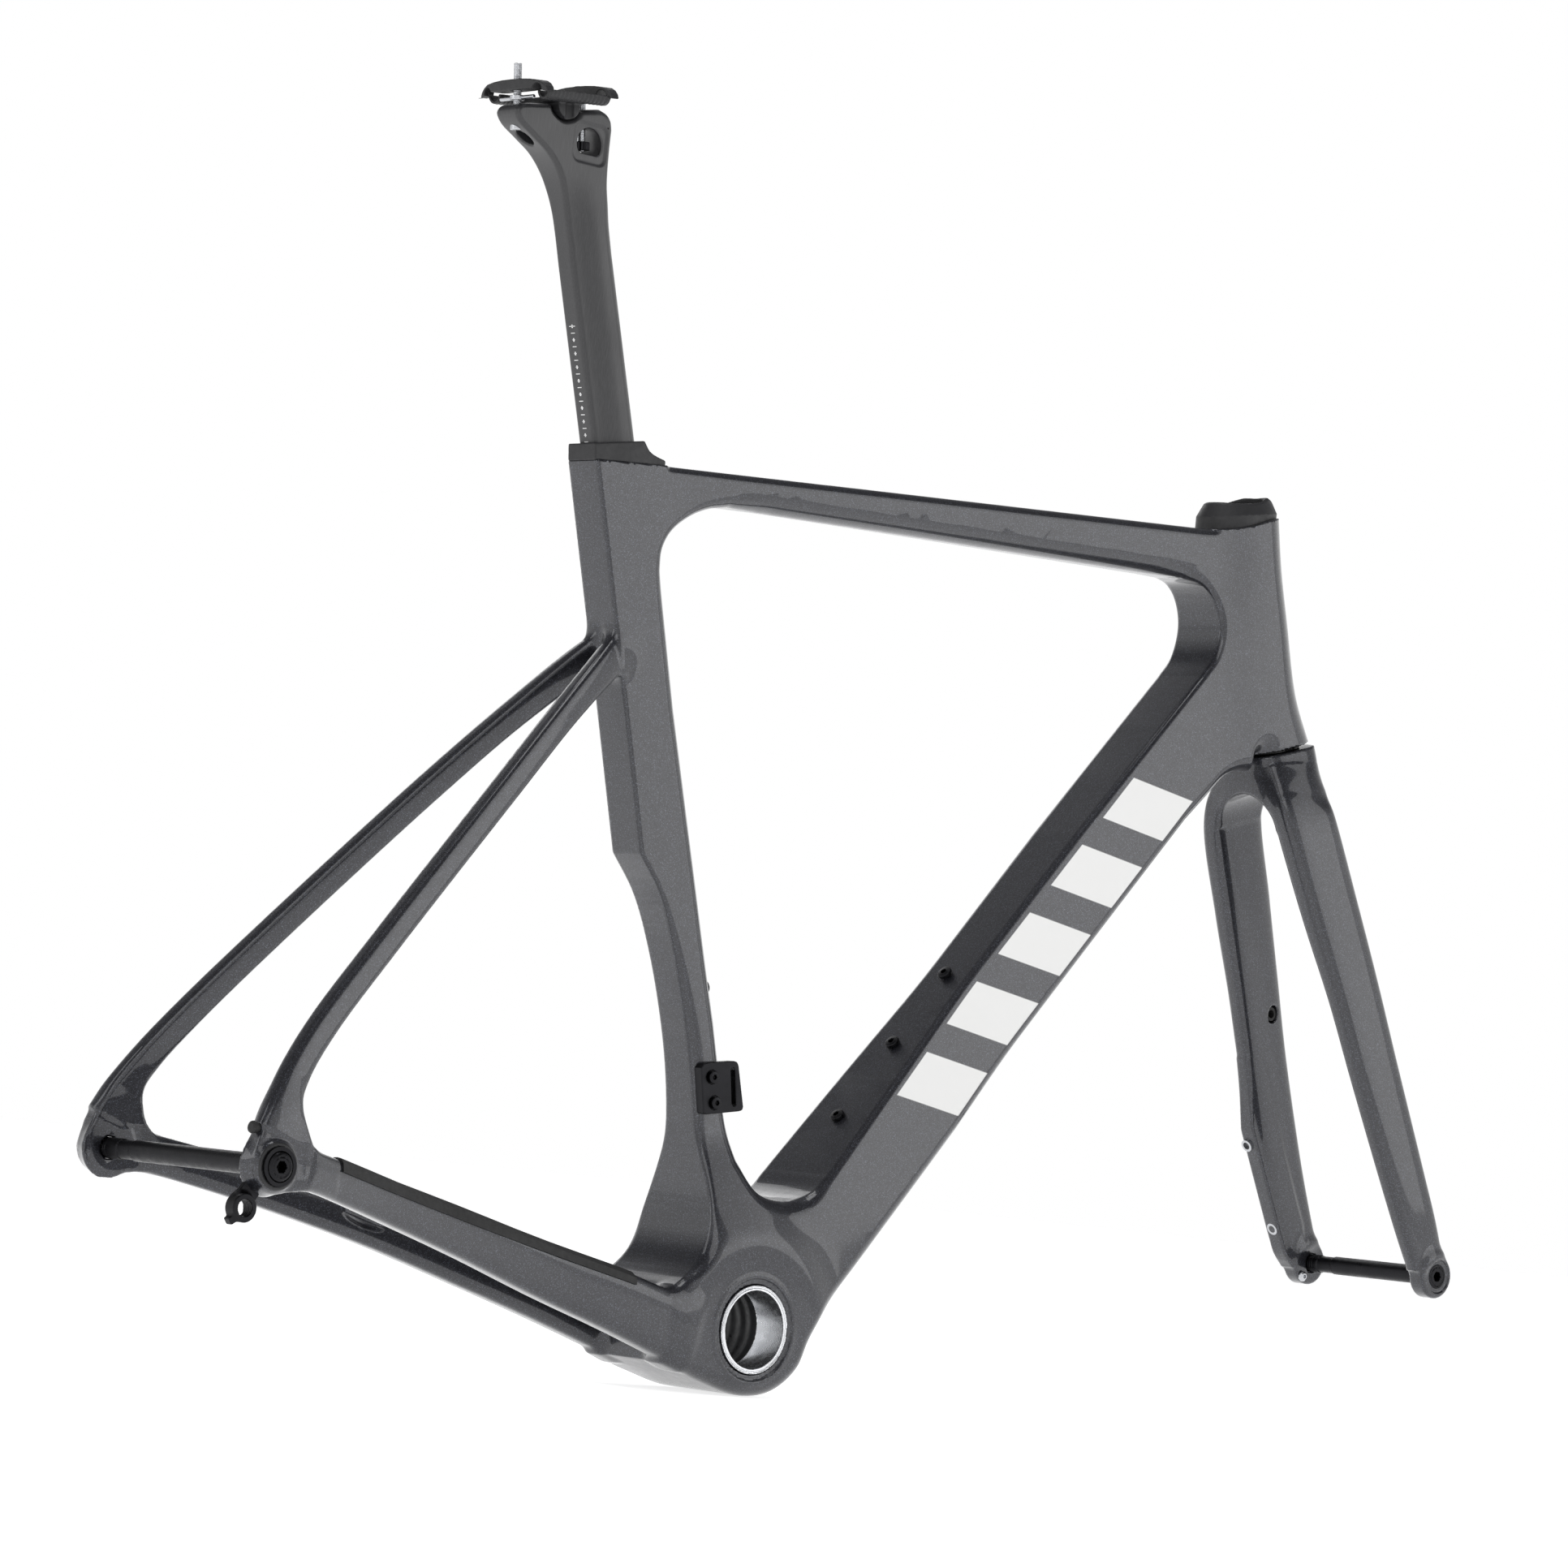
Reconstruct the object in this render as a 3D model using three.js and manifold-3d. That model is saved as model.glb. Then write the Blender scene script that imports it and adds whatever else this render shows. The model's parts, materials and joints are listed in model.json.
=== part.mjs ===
// Carbon road frameset: frame, fork, seatpost, headset, axles and small hardware.
// Millimetres. X forward, Y to the rider's left, Z up; the origin is the centre of the bottom bracket.
import * as THREE from "three";
import { mergeVertices } from "three/addons/utils/BufferGeometryUtils.js";
import Module from "manifold-3d";

const wasm = await Module();
wasm.setup();

// ---------------------------------------------------------------- driving dimensions
const GAP = 0.3;
const CHAINSTAY = 410;
const BB_DROP = 70;
const WHEELBASE = 990;
const REAR_SPACING = 142;
const FRONT_SPACING = 100;
const SEAT_ANGLE = THREE.MathUtils.degToRad(73);
const HEAD_ANGLE = THREE.MathUtils.degToRad(73.5);
const FORK_RAKE = 49;
const SHELL_WIDTH = 79;
const SHELL_BORE_RADIUS = 26.8;
const SLEEVE_OUTER_RADIUS = 26.5;
const SLEEVE_BORE_RADIUS = 23.3;
const SLEEVE_LENGTH = 24;
const BEARING_RADIUS = 20.9;
const STEERER_RADIUS = 14.3;
const STEERER_BORE = 11.5;
const AXLE_RADIUS = 6;
const REAR_AXLE_HEAD_RADIUS = 8.5;
const FRONT_AXLE_HEAD_RADIUS = 9.5;
const POST_BACK = 17.5;
const POST_FRONT = 16;
const POST_HALF_WIDTH = 10;
const POST_INSERTION = 155;
const RAIL_SPACING = 44;
const RAIL_RADIUS = 3.6;
const CLAMP_TILT = THREE.MathUtils.degToRad(6.5);

// ---------------------------------------------------------------- reference points and directions
const vec = (x, y, z) => new THREE.Vector3(x, y, z);
const REAR_AXLE = vec(-Math.sqrt(CHAINSTAY ** 2 - BB_DROP ** 2), 0, BB_DROP);
const FRONT_AXLE = vec(REAR_AXLE.x + WHEELBASE, 0, BB_DROP);
const SEAT_UP = vec(-Math.cos(SEAT_ANGLE), 0, Math.sin(SEAT_ANGLE));
const SEAT_FORWARD = vec(Math.sin(SEAT_ANGLE), 0, Math.cos(SEAT_ANGLE));
const SEAT_BASE = vec(4.4, 0, 0);
const STEER_UP = vec(-Math.cos(HEAD_ANGLE), 0, Math.sin(HEAD_ANGLE));
const STEER_FORWARD = vec(Math.sin(HEAD_ANGLE), 0, Math.cos(HEAD_ANGLE));
const STEER_BASE = FRONT_AXLE.clone().addScaledVector(STEER_FORWARD, -FORK_RAKE);
const CLAMP_PIVOT = vec(-219, 0, 696);

// Distances along the steering axis from STEER_BASE and along the seat axis from SEAT_BASE.
const CROWN_TOP = 358.7;
const LOWER_BEARING = 361.3;
const UPPER_BEARING = 498;
const BEARING_HEIGHT = 7;
const STEERER_TOP = 514;
const SEAT_TOP = 522.5;
const CAVITY_LENGTH = 226;

const onSteer = (along, forward = 0, y = 0) =>
  STEER_BASE.clone().addScaledVector(STEER_UP, along).addScaledVector(STEER_FORWARD, forward).setY(y);
const onSeat = (along, forward = 0, y = 0) =>
  SEAT_BASE.clone().addScaledVector(SEAT_UP, along).addScaledVector(SEAT_FORWARD, forward).setY(y);

// ---------------------------------------------------------------- making, cutting and joining solids
function signedVolume(geometry) {
  const at = geometry.attributes.position;
  const index = geometry.index;
  let total = 0;
  for (let i = 0; i < index.count; i += 3) {
    const a = vec().fromBufferAttribute(at, index.getX(i));
    const b = vec().fromBufferAttribute(at, index.getX(i + 1));
    const c = vec().fromBufferAttribute(at, index.getX(i + 2));
    total += a.dot(b.cross(c)) / 6;
  }
  return total;
}

// A closed geometry becomes a solid; one whose faces point inwards is turned right side out.
function solid(geometry) {
  const bare = geometry.clone();
  bare.deleteAttribute("normal");
  bare.deleteAttribute("uv");
  const merged = mergeVertices(bare, 1e-3);
  const triangles = Uint32Array.from(merged.index.array);
  if (signedVolume(merged) < 0) {
    for (let i = 0; i < triangles.length; i += 3) {
      [triangles[i], triangles[i + 1]] = [triangles[i + 1], triangles[i]];
    }
  }
  const vertProperties = Float32Array.from(merged.attributes.position.array);
  return new wasm.Manifold(new wasm.Mesh({ numProp: 3, vertProperties, triVerts: triangles }));
}

const join = (...bodies) => bodies.reduce((all, body) => all.add(body));
const cut = (body, ...tools) => tools.reduce((left, tool) => left.subtract(tool), body);
const mirrored = (body) => body.mirror([0, 1, 0]);

// A round bar between two points; a second radius makes it a cone.
function bar(from, to, radius, sides = 20, endRadius = radius) {
  const length = from.distanceTo(to);
  const geometry = new THREE.CylinderGeometry(endRadius, radius, length, sides);
  geometry.translate(0, length / 2, 0);
  const direction = to.clone().sub(from).normalize();
  geometry.applyQuaternion(new THREE.Quaternion().setFromUnitVectors(vec(0, 1, 0), direction));
  geometry.translate(from.x, from.y, from.z);
  return solid(geometry);
}

const barAcross = (x, z, yFrom, yTo, radius, sides = 20) =>
  bar(vec(x, yFrom, z), vec(x, yTo, z), radius, sides);

// A turned piece: profile points are [radius, distance along the direction].
function turned(profile, from, direction, sides = 32) {
  const points = profile.map(([radius, along]) => new THREE.Vector2(radius, along));
  const geometry = new THREE.LatheGeometry(points, sides);
  geometry.applyQuaternion(new THREE.Quaternion().setFromUnitVectors(vec(0, 1, 0), direction));
  geometry.translate(from.x, from.y, from.z);
  return solid(geometry);
}

// A plate whose outline lies in the XZ plane, between two values of Y, with a rounded rim.
function plate(shape, yFrom, yTo, round = 0, curveSegments = 2) {
  const height = yTo - yFrom;
  const geometry = new THREE.ExtrudeGeometry(shape, {
    depth: height - 2 * round,
    curveSegments,
    bevelEnabled: round > 0,
    bevelThickness: round,
    bevelSize: round,
    bevelOffset: -round,
    bevelSegments: 1,
  });
  geometry.translate(0, 0, round);
  geometry.rotateX(Math.PI / 2);
  geometry.translate(0, yTo, 0);
  return solid(geometry);
}

function outline(points) {
  const shape = new THREE.Shape();
  points.forEach(([x, z], i) => (i === 0 ? shape.moveTo(x, z) : shape.lineTo(x, z)));
  shape.closePath();
  return shape;
}

// A block given by its centre, its size and the directions of its length and height (in the XZ plane).
function block(centre, [length, width, height], forward = vec(1, 0, 0)) {
  const geometry = new THREE.BoxGeometry(length, width, height);
  const up = forward.clone().cross(vec(0, 1, 0));
  geometry.applyMatrix4(new THREE.Matrix4().makeBasis(forward, vec(0, 1, 0), up));
  geometry.translate(centre.x, centre.y, centre.z);
  return solid(geometry);
}

// A thin slab across the whole width, from one point of the side view to another: it parts two tubes.
function partingSlab([x1, z1], [x2, z2]) {
  const from = vec(x1, 0, z1);
  const to = vec(x2, 0, z2);
  const forward = to.clone().sub(from);
  const length = forward.length();
  return block(from.clone().lerp(to, 0.5), [length, 140, GAP], forward.normalize());
}

// A closed tube along a curve with a rounded-rectangle section. sectionAt(t) gives the half width
// across the bike, the half depth in the side view, and how square the section is (2 is an ellipse).
function tubeAlong(path, sectionAt, sides = 16, steps = 14, grow = 0) {
  const geometry = new THREE.CylinderGeometry(1, 1, 1, sides, steps);
  const at = geometry.attributes.position;
  for (let i = 0; i < at.count; i++) {
    const t = THREE.MathUtils.clamp(at.getY(i) + 0.5, 0, 1);
    const tangent = path.getTangentAt(t);
    const across = vec(0, 1, 0).addScaledVector(tangent, -tangent.y).normalize();
    const deep = tangent.clone().cross(across);
    const [halfWidth, halfDepth, squareness = 3] = sectionAt(t);
    const radius = Math.hypot(at.getX(i), at.getZ(i));
    const angle = Math.atan2(at.getX(i), at.getZ(i));
    const [c, s] = [Math.cos(angle), Math.sin(angle)];
    const reach = radius / (Math.abs(c) ** squareness + Math.abs(s) ** squareness) ** (1 / squareness);
    const place = path.getPointAt(t)
      .addScaledVector(across, s * reach * (halfWidth + grow))
      .addScaledVector(deep, c * reach * (halfDepth + grow));
    at.setXYZ(i, place.x, place.y, place.z);
  }
  return solid(geometry);
}

// Straight-line interpolation through [key, value, value, ...] rows.
function between(rows, key) {
  let i = 1;
  while (i < rows.length - 1 && rows[i][0] < key) i++;
  const [low, high] = [rows[i - 1], rows[i]];
  const part = THREE.MathUtils.clamp((key - low[0]) / (high[0] - low[0]), 0, 1);
  return low.slice(1).map((value, k) => THREE.MathUtils.lerp(value, high[k + 1], part));
}

const hexSocket = (from, direction, acrossFlats, depth) =>
  bar(from, from.clone().addScaledVector(direction, depth), acrossFlats / Math.sqrt(3), 6);

// ---------------------------------------------------------------- the frame's main body in side view
function frameOutline() {
  const shape = new THREE.Shape();
  const spline = (path, points) => path.splineThru(points.map(([x, z]) => new THREE.Vector2(x, z)));
  shape.moveTo(-171, 496.5);
  shape.lineTo(-144, 405);
  shape.lineTo(-131, 362);
  shape.lineTo(-105, 272);
  spline(shape, [[-86, 250], [-70, 218], [-50, 160], [-40, 112], [-36, 70], [-42, 42], [-66, 18]]);
  shape.lineTo(-66, -23);
  spline(shape, [[-34, -33], [0, -40], [24, -36], [42, -22], [50, -4], [60, 11], [89, 43]]);
  shape.lineTo(169, 131);
  shape.lineTo(269, 249);
  shape.lineTo(350, 344);
  spline(shape, [[368, 362], [382, 376], [394, 381.5], [406, 383]]);
  shape.lineTo(409, 394);
  shape.lineTo(465, 411);
  spline(shape, [[448, 440], [434, 484], [424, 517], [416.5, 551]]);
  spline(shape, [[398, 546], [378, 539], [358, 534.5], [340, 532.5]]);
  shape.lineTo(-112, 501.5);
  shape.closePath();

  const opening = new THREE.Path();
  opening.moveTo(-7, 100);
  opening.lineTo(-29, 180);
  opening.lineTo(-86, 361);
  opening.lineTo(-108, 440);
  spline(opening, [[-109, 452], [-104, 463], [-91, 474], [-76, 481], [-60, 484.5]]);
  opening.lineTo(100, 490.5);
  opening.lineTo(330, 498.5);
  spline(opening, [[346, 496], [356, 488], [363, 472], [360, 452], [350, 438]]);
  opening.lineTo(250, 324);
  opening.lineTo(110, 158);
  opening.lineTo(58, 96);
  spline(opening, [[46, 84], [24, 77.5], [5, 82], [-7, 100]]);
  shape.holes.push(opening);
  return shape;
}

// Half width of each tube at its two ends in side view; a point takes a blend of the nearest ones.
const WIDTH_LINES = [
  { from: [-20, 70], to: [-60, 205], halves: [16, 12.5] },
  { from: [-60, 205], to: [-150, 480], halves: [12.5, 12.5] },
  { from: [-95, 494], to: [340, 515], halves: [13, 16.5] },
  { from: [60, 55], to: [170, 185], halves: [27, 20.5] },
  { from: [170, 185], to: [350, 395], halves: [20.5, 20.5] },
  { from: [446, 398], to: [404, 545], halves: [24.5, 22.5] },
];
const SHELL_FLAT_RADIUS = 34;
const SHELL_FADE_RADIUS = 88;
const RIM = 6;
const RIM_SHARE = 0.6;

function frameHalfWidth(x, z) {
  let total = 0;
  let sum = 0;
  for (const { from, to, halves } of WIDTH_LINES) {
    const start = new THREE.Vector2(...from);
    const along = new THREE.Vector2(...to).sub(start);
    const offset = new THREE.Vector2(x, z).sub(start);
    const t = THREE.MathUtils.clamp(offset.dot(along) / along.lengthSq(), 0, 1);
    const distance = offset.addScaledVector(along, -t).length();
    const weight = 1 / (distance + 4) ** 4;
    total += weight * THREE.MathUtils.lerp(halves[0], halves[1], t);
    sum += weight;
  }
  const fade = THREE.MathUtils.smoothstep(Math.hypot(x, z), SHELL_FLAT_RADIUS, SHELL_FADE_RADIUS);
  return THREE.MathUtils.lerp(SHELL_WIDTH / 2, total / sum, fade);
}

function frameBody() {
  const geometry = new THREE.ExtrudeGeometry(frameOutline(), {
    depth: 2 - 2 * RIM_SHARE,
    curveSegments: 2,
    bevelThickness: RIM_SHARE,
    bevelSize: RIM,
    bevelOffset: -RIM,
    bevelSegments: 2,
  });
  geometry.translate(0, 0, RIM_SHARE - 1);
  geometry.rotateX(Math.PI / 2);
  const at = geometry.attributes.position;
  for (let i = 0; i < at.count; i++) {
    at.setY(i, at.getY(i) * frameHalfWidth(at.getX(i), at.getZ(i)));
  }
  const shellEnds = barAcross(0, 0, -SHELL_WIDTH / 2, SHELL_WIDTH / 2, 33, 28);
  return join(solid(geometry), shellEnds);
}

// ---------------------------------------------------------------- bores and pockets in the frame
const shellBore = barAcross(0, 0, -60, 60, SHELL_BORE_RADIUS, 28);
const seatCavity = block(
  onSeat(SEAT_TOP + 10 - CAVITY_LENGTH / 2, (POST_FRONT - POST_BACK) / 2),
  [POST_BACK + POST_FRONT + 2 * GAP + 0.4, 2 * (POST_HALF_WIDTH + GAP + 0.1), CAVITY_LENGTH],
  SEAT_FORWARD,
);
const WEDGE_FRONT = POST_FRONT + 12;
const wedgePocket = block(
  onSeat(SEAT_TOP - 16, (POST_FRONT + WEDGE_FRONT) / 2 + GAP),
  [WEDGE_FRONT - POST_FRONT + 2 * GAP, 16.6, 60],
  SEAT_FORWARD,
);
const headBore = bar(onSteer(330), onSteer(560), 18, 24);
const lowerSeat = bar(onSteer(330), onSteer(LOWER_BEARING + BEARING_HEIGHT + GAP), BEARING_RADIUS + GAP, 28);
const upperSeat = bar(onSteer(UPPER_BEARING - GAP), onSteer(560), BEARING_RADIUS + GAP, 28);

// ---------------------------------------------------------------- parting the main body into its tubes
const partings = [
  partingSlab([338, 480], [338, 560]),
  partingSlab([330, 431], [402, 370]),
  partingSlab([-62, 470], [-66, 520]),
  partingSlab([52, 105], [112, 54]),
  partingSlab([-60, 88], [0, 106]),
];
const tubes = cut(frameBody(), ...partings, shellBore, seatCavity, wedgePocket, headBore, lowerSeat, upperSeat)
  .decompose()
  .filter((body) => body.volume() > 50);

// The parted tube whose middle is nearest to a point of the side view.
function tubeNear(x, z) {
  const distance = (body) => {
    const { min, max } = body.boundingBox();
    return Math.hypot((min[0] + max[0]) / 2 - x, (min[2] + max[2]) / 2 - z);
  };
  return tubes.reduce((best, body) => (distance(body) < distance(best) ? body : best));
}

const downTubeBody = tubeNear(220, 230);
const topTubeBody = tubeNear(140, 505);
const seatTubeBody = tubeNear(-90, 300);
const headTubeBody = tubeNear(400, 460);
const shellBody = tubeNear(10, 30);

// ---------------------------------------------------------------- chainstays and seatstays (right side)
const chainstayPath = new THREE.CatmullRomCurve3([
  vec(-66.3, -29.5, -0.5), vec(-110, -31.5, 11), vec(-165, -33.5, 24), vec(-235, -41.5, 41),
  vec(-305, -55, 56), vec(-345, -66, 64), vec(-378, -76.5, 70),
]);
const CHAINSTAY_SECTIONS = [
  [0, 9.8, 20, 4], [0.15, 9.2, 17.8, 4], [0.45, 8.2, 13.8, 3.5], [0.75, 7.2, 11.4, 3], [1, 5.4, 11, 3],
];
const chainstay = (grow = 0) =>
  tubeAlong(chainstayPath, (t) => between(CHAINSTAY_SECTIONS, t), 16, 12, grow);

const seatstayPath = new THREE.CatmullRomCurve3([
  vec(-128, -5, 392), vec(-144, -11.5, 381), vec(-181, -21.5, 347), vec(-229, -33.5, 298),
  vec(-322, -53, 199), vec(-366, -63, 150), vec(-389, -70, 122), vec(-398, -76, 106),
]);
const SEATSTAY_SECTIONS = [
  [0, 5, 13, 3], [0.1, 5.5, 10, 3], [0.2, 5.8, 8, 3], [0.8, 5.8, 8, 3], [1, 5.6, 9.5, 3],
];
const seatstay = tubeAlong(seatstayPath, (t) => between(SEATSTAY_SECTIONS, t), 14, 16);

// ---------------------------------------------------------------- rear dropouts (right side)
const DROPOUT_INNER = REAR_SPACING / 2;
const DROPOUT_OUTER = 82;
function dropoutOutline() {
  const shape = new THREE.Shape();
  const spline = (points) => shape.splineThru(points.map(([x, z]) => new THREE.Vector2(x, z)));
  shape.moveTo(-403, 119);
  spline([[-411, 107], [-417, 94], [-419, 76], [-415, 62], [-405, 55.5], [-391, 56.5]]);
  shape.lineTo(-374, 59);
  shape.lineTo(-371, 79);
  spline([[-380, 89], [-385, 97], [-386, 108]]);
  shape.closePath();
  return shape;
}
const dropoutPlate = plate(dropoutOutline(), -DROPOUT_OUTER, -DROPOUT_INNER, 2.5);
const axleBossRear = barAcross(REAR_AXLE.x, REAR_AXLE.z, -84, -DROPOUT_INNER, 13.8, 24);

const HANGER_THICKNESS = 3.5;
const hangerPocket = plate(outline([
  [-425, 40], [-398, 40], [-388, 70], [-390, 84], [-404, 88], [-430, 84],
]), -DROPOUT_INNER - HANGER_THICKNESS - GAP, -DROPOUT_INNER + 10);
const rearAxleHole = barAcross(REAR_AXLE.x, REAR_AXLE.z, -100, 100, AXLE_RADIUS + GAP);
const rearNutPocket = barAcross(REAR_AXLE.x, REAR_AXLE.z, -95, -79, 11.3, 24);

const rearEnds = join(dropoutPlate, axleBossRear);
const dropoutRight = cut(rearEnds, hangerPocket, barAcross(REAR_AXLE.x, REAR_AXLE.z, -100, -60, 9.3, 24),
  rearNutPocket);
const dropoutLeft = cut(mirrored(rearEnds), rearAxleHole);
const grownDropout = join(
  plate(dropoutOutline(), -DROPOUT_OUTER - GAP, -DROPOUT_INNER + GAP),
  barAcross(REAR_AXLE.x, REAR_AXLE.z, -84 - GAP, -DROPOUT_INNER + GAP, 13.8 + GAP, 24),
);

// The stays end against the dropouts, the seat tube and the shell, a gap short of each.
const behindShell = block(vec(-66 - GAP + 100, 0, 0), [200, 200, 200]);
const seatTubeRear = plate(outline([
  [-171.5, 497], [-144.6, 405], [-131.6, 362], [-105.6, 272], [-60, 272], [-60, 497],
]), -13.2, 13.2);
const chainstayRight = cut(chainstay(), grownDropout, behindShell);
const seatstayRight = cut(seatstay, grownDropout, seatTubeRear, chainstay(GAP));
const protectorZone = plate(outline([[-352, 100], [-352, 70.5], [-98, 21], [-98, 60]]), -90, -10);
const chainstayProtector = cut(chainstay(1.5).intersect(protectorZone), chainstay(GAP));

// ---------------------------------------------------------------- small frame hardware
const HANGER_RING = vec(-419.5, 0, 46);
const hangerArm = plate(outline([
  [-416, 76], [-408, 82], [-398, 80], [-393, 70], [-398, 60], [-413, 42], [-425, 38], [-437, 38.5],
  [-427.5, 44], [-427, 50],
]), -DROPOUT_INNER - HANGER_THICKNESS, -DROPOUT_INNER, 0.6);
const hangerTop = -DROPOUT_INNER - HANGER_THICKNESS;
const derailleurHanger = cut(
  join(
    hangerArm,
    barAcross(HANGER_RING.x, HANGER_RING.z, -DROPOUT_INNER - 8, -DROPOUT_INNER, 8, 24),
    barAcross(REAR_AXLE.x, REAR_AXLE.z, -78.5, hangerTop + 1, 9, 24),
  ),
  barAcross(HANGER_RING.x, HANGER_RING.z, -90, -60, 5, 24),
  rearAxleHole,
);
const hangerNut = cut(
  barAcross(REAR_AXLE.x, REAR_AXLE.z, -86, -79.3, 11, 24),
  rearAxleHole,
  barAcross(REAR_AXLE.x, REAR_AXLE.z, -95, -82.5, REAR_AXLE_HEAD_RADIUS + GAP, 24),
);
const ACROSS = vec(0, 1, 0);
const rearAxle = cut(
  join(
    barAcross(REAR_AXLE.x, REAR_AXLE.z, -83.5, 83, AXLE_RADIUS, 24),
    barAcross(REAR_AXLE.x, REAR_AXLE.z, -87.4, -82.8, REAR_AXLE_HEAD_RADIUS, 24),
  ),
  hexSocket(vec(REAR_AXLE.x, -88, REAR_AXLE.z), ACROSS, 6, 8),
);
const shellSleeve = turned([
  [SLEEVE_BORE_RADIUS, -SHELL_WIDTH / 2],
  [SLEEVE_OUTER_RADIUS, -SHELL_WIDTH / 2],
  [SLEEVE_OUTER_RADIUS, -SHELL_WIDTH / 2 + SLEEVE_LENGTH],
  [SLEEVE_BORE_RADIUS, -SHELL_WIDTH / 2 + SLEEVE_LENGTH],
  [SLEEVE_BORE_RADIUS, -SHELL_WIDTH / 2],
], vec(0, 0, 0), ACROSS, 36);

// A button-head bolt: its head's underside sits at a point, and its shank goes the other way.
function buttonBolt(seat, outward, { head = 5, height = 3, shank = 2.4, length = 12, socket = 3 }) {
  const under = seat.clone().addScaledVector(outward, GAP);
  const rim = under.clone().addScaledVector(outward, height);
  return cut(
    join(
      turned([[0, 0], [head, 0], [head, height * 0.45], [head * 0.62, height], [0, height]], under, outward, 14),
      bar(under.clone().addScaledVector(outward, -length), rim.clone().addScaledVector(outward, -0.5), shank, 10),
    ),
    hexSocket(rim.clone().addScaledVector(outward, 0.2), outward.clone().negate(), socket, 2),
  );
}
const boltHole = (seat, outward, radius, depth) =>
  bar(seat.clone().addScaledVector(outward, 3), seat.clone().addScaledVector(outward, -depth), radius, 12);

// Bottle bolts, each given by its point in side view and the way its head faces.
const DOWN_TUBE_UP = vec(-0.77, 0, 0.64).normalize();
const bottleBolts = [
  { name: "bottle_bolt_down_tube_top", seat: vec(167, 0, 226.6), outward: DOWN_TUBE_UP },
  { name: "bottle_bolt_down_tube_middle", seat: vec(128, 0, 179.9), outward: DOWN_TUBE_UP },
  { name: "bottle_bolt_down_tube_bottom", seat: vec(88, 0, 131.5), outward: DOWN_TUBE_UP },
  { name: "bottle_bolt_seat_tube_top", seat: vec(-35, 0, 199.2), outward: SEAT_FORWARD },
  { name: "bottle_bolt_seat_tube_bottom", seat: vec(-12.2, 0, 119), outward: SEAT_FORWARD },
];
const bottleHoles = bottleBolts.map(({ seat, outward }) => boltHole(seat, outward, 2.7, 14));

const MOUNT_BOLTS = [vec(-36.5, 0, 146.5), vec(-32.5, 0, 131.5)];
const MOUNT_FACE = -19.6;
const mountHoles = MOUNT_BOLTS.map(({ x, z }) => barAcross(x, z, -30, -8, 2.7, 16));
const mountPlate = cut(
  plate(outline([[-46, 151], [-40, 155], [-20, 157.5], [-16, 155], [-9, 131], [-12, 128], [-38, 124], [-41, 127]]),
    MOUNT_FACE, -10, 0.6),
  seatTubeBody.translate([0, -GAP, 0]),
  plate(outline([[-22, 152], [-18.5, 152], [-15, 132], [-18.5, 132]]), -30, 0),
  plate(outline([[-46, 122], [-8, 122], [-8, 158], [-46, 158]]), -13, 0),
  ...mountHoles,
);
const mountBolt = ({ x, z }) =>
  buttonBolt(vec(x, MOUNT_FACE, z), vec(0, -1, 0), { head: 4, height: 2.2, shank: 2.4, length: 10, socket: 2.5 });

const REAR_PLUG = vec(-418.6, -76.5, 90);
const REAR_PLUG_OUT = vec(-1, 0, 0.12).normalize();
const SHELL_PLUG = vec(-50, -15, 26);
const SHELL_PLUG_OUT = vec(-0.6, 0, 0.8);
const portPlug = (place, outward, radius) =>
  turned([[0, -4], [radius - 1, -4], [radius, 0], [radius - 0.4, 1], [radius - 1.4, 1.5], [0, 1.6]], place, outward, 16);
const portHole = (place, outward, radius) =>
  bar(place.clone().addScaledVector(outward, -5), place.clone().addScaledVector(outward, 5), radius + GAP, 16);

// ---------------------------------------------------------------- seat clamp: cover, wedge and bolt
const COVER_HALF_WIDTH = 12.6;
function coverOutline() {
  const shape = new THREE.Shape();
  shape.moveTo(-171.5, 496.8);
  shape.lineTo(-112, 501.8);
  shape.lineTo(-113, 504.2);
  shape.splineThru([[-121, 505.2], [-129, 507.5], [-134.5, 512.8]].map(([x, z]) => new THREE.Vector2(x, z)));
  shape.lineTo(-172.5, 505.6);
  shape.closePath();
  return shape;
}
const wedgeCentre = onSeat(SEAT_TOP - 25, (POST_FRONT + WEDGE_FRONT) / 2 + GAP);
const boltAxisTop = onSeat(SEAT_TOP + 2, (POST_FRONT + WEDGE_FRONT) / 2 + GAP);
const postClearance = block(
  onSeat(SEAT_TOP - 60, (POST_FRONT - POST_BACK) / 2),
  [POST_BACK + POST_FRONT + 2 * GAP, 2 * (POST_HALF_WIDTH + GAP), 400],
  SEAT_FORWARD,
);
const clampCover = cut(
  plate(coverOutline(), -COVER_HALF_WIDTH, COVER_HALF_WIDTH, 0.8),
  postClearance,
  bar(boltAxisTop, onSeat(SEAT_TOP + 30, (POST_FRONT + WEDGE_FRONT) / 2), 3.2, 20),
  bar(onSeat(SEAT_TOP - 60, (POST_FRONT + WEDGE_FRONT) / 2 + GAP), boltAxisTop, 4.6, 20),
);
const clampWedge = cut(
  block(wedgeCentre, [WEDGE_FRONT - POST_FRONT - 0.4, 16, 30], SEAT_FORWARD),
  bar(onSeat(SEAT_TOP - 60, (POST_FRONT + WEDGE_FRONT) / 2 + GAP), boltAxisTop, 2.8, 16),
);
const clampBolt = buttonBolt(onSeat(SEAT_TOP - 10, (POST_FRONT + WEDGE_FRONT) / 2 + GAP), SEAT_UP,
  { head: 4.2, height: 4, shank: 2.5, length: 28, socket: 4 });

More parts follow.
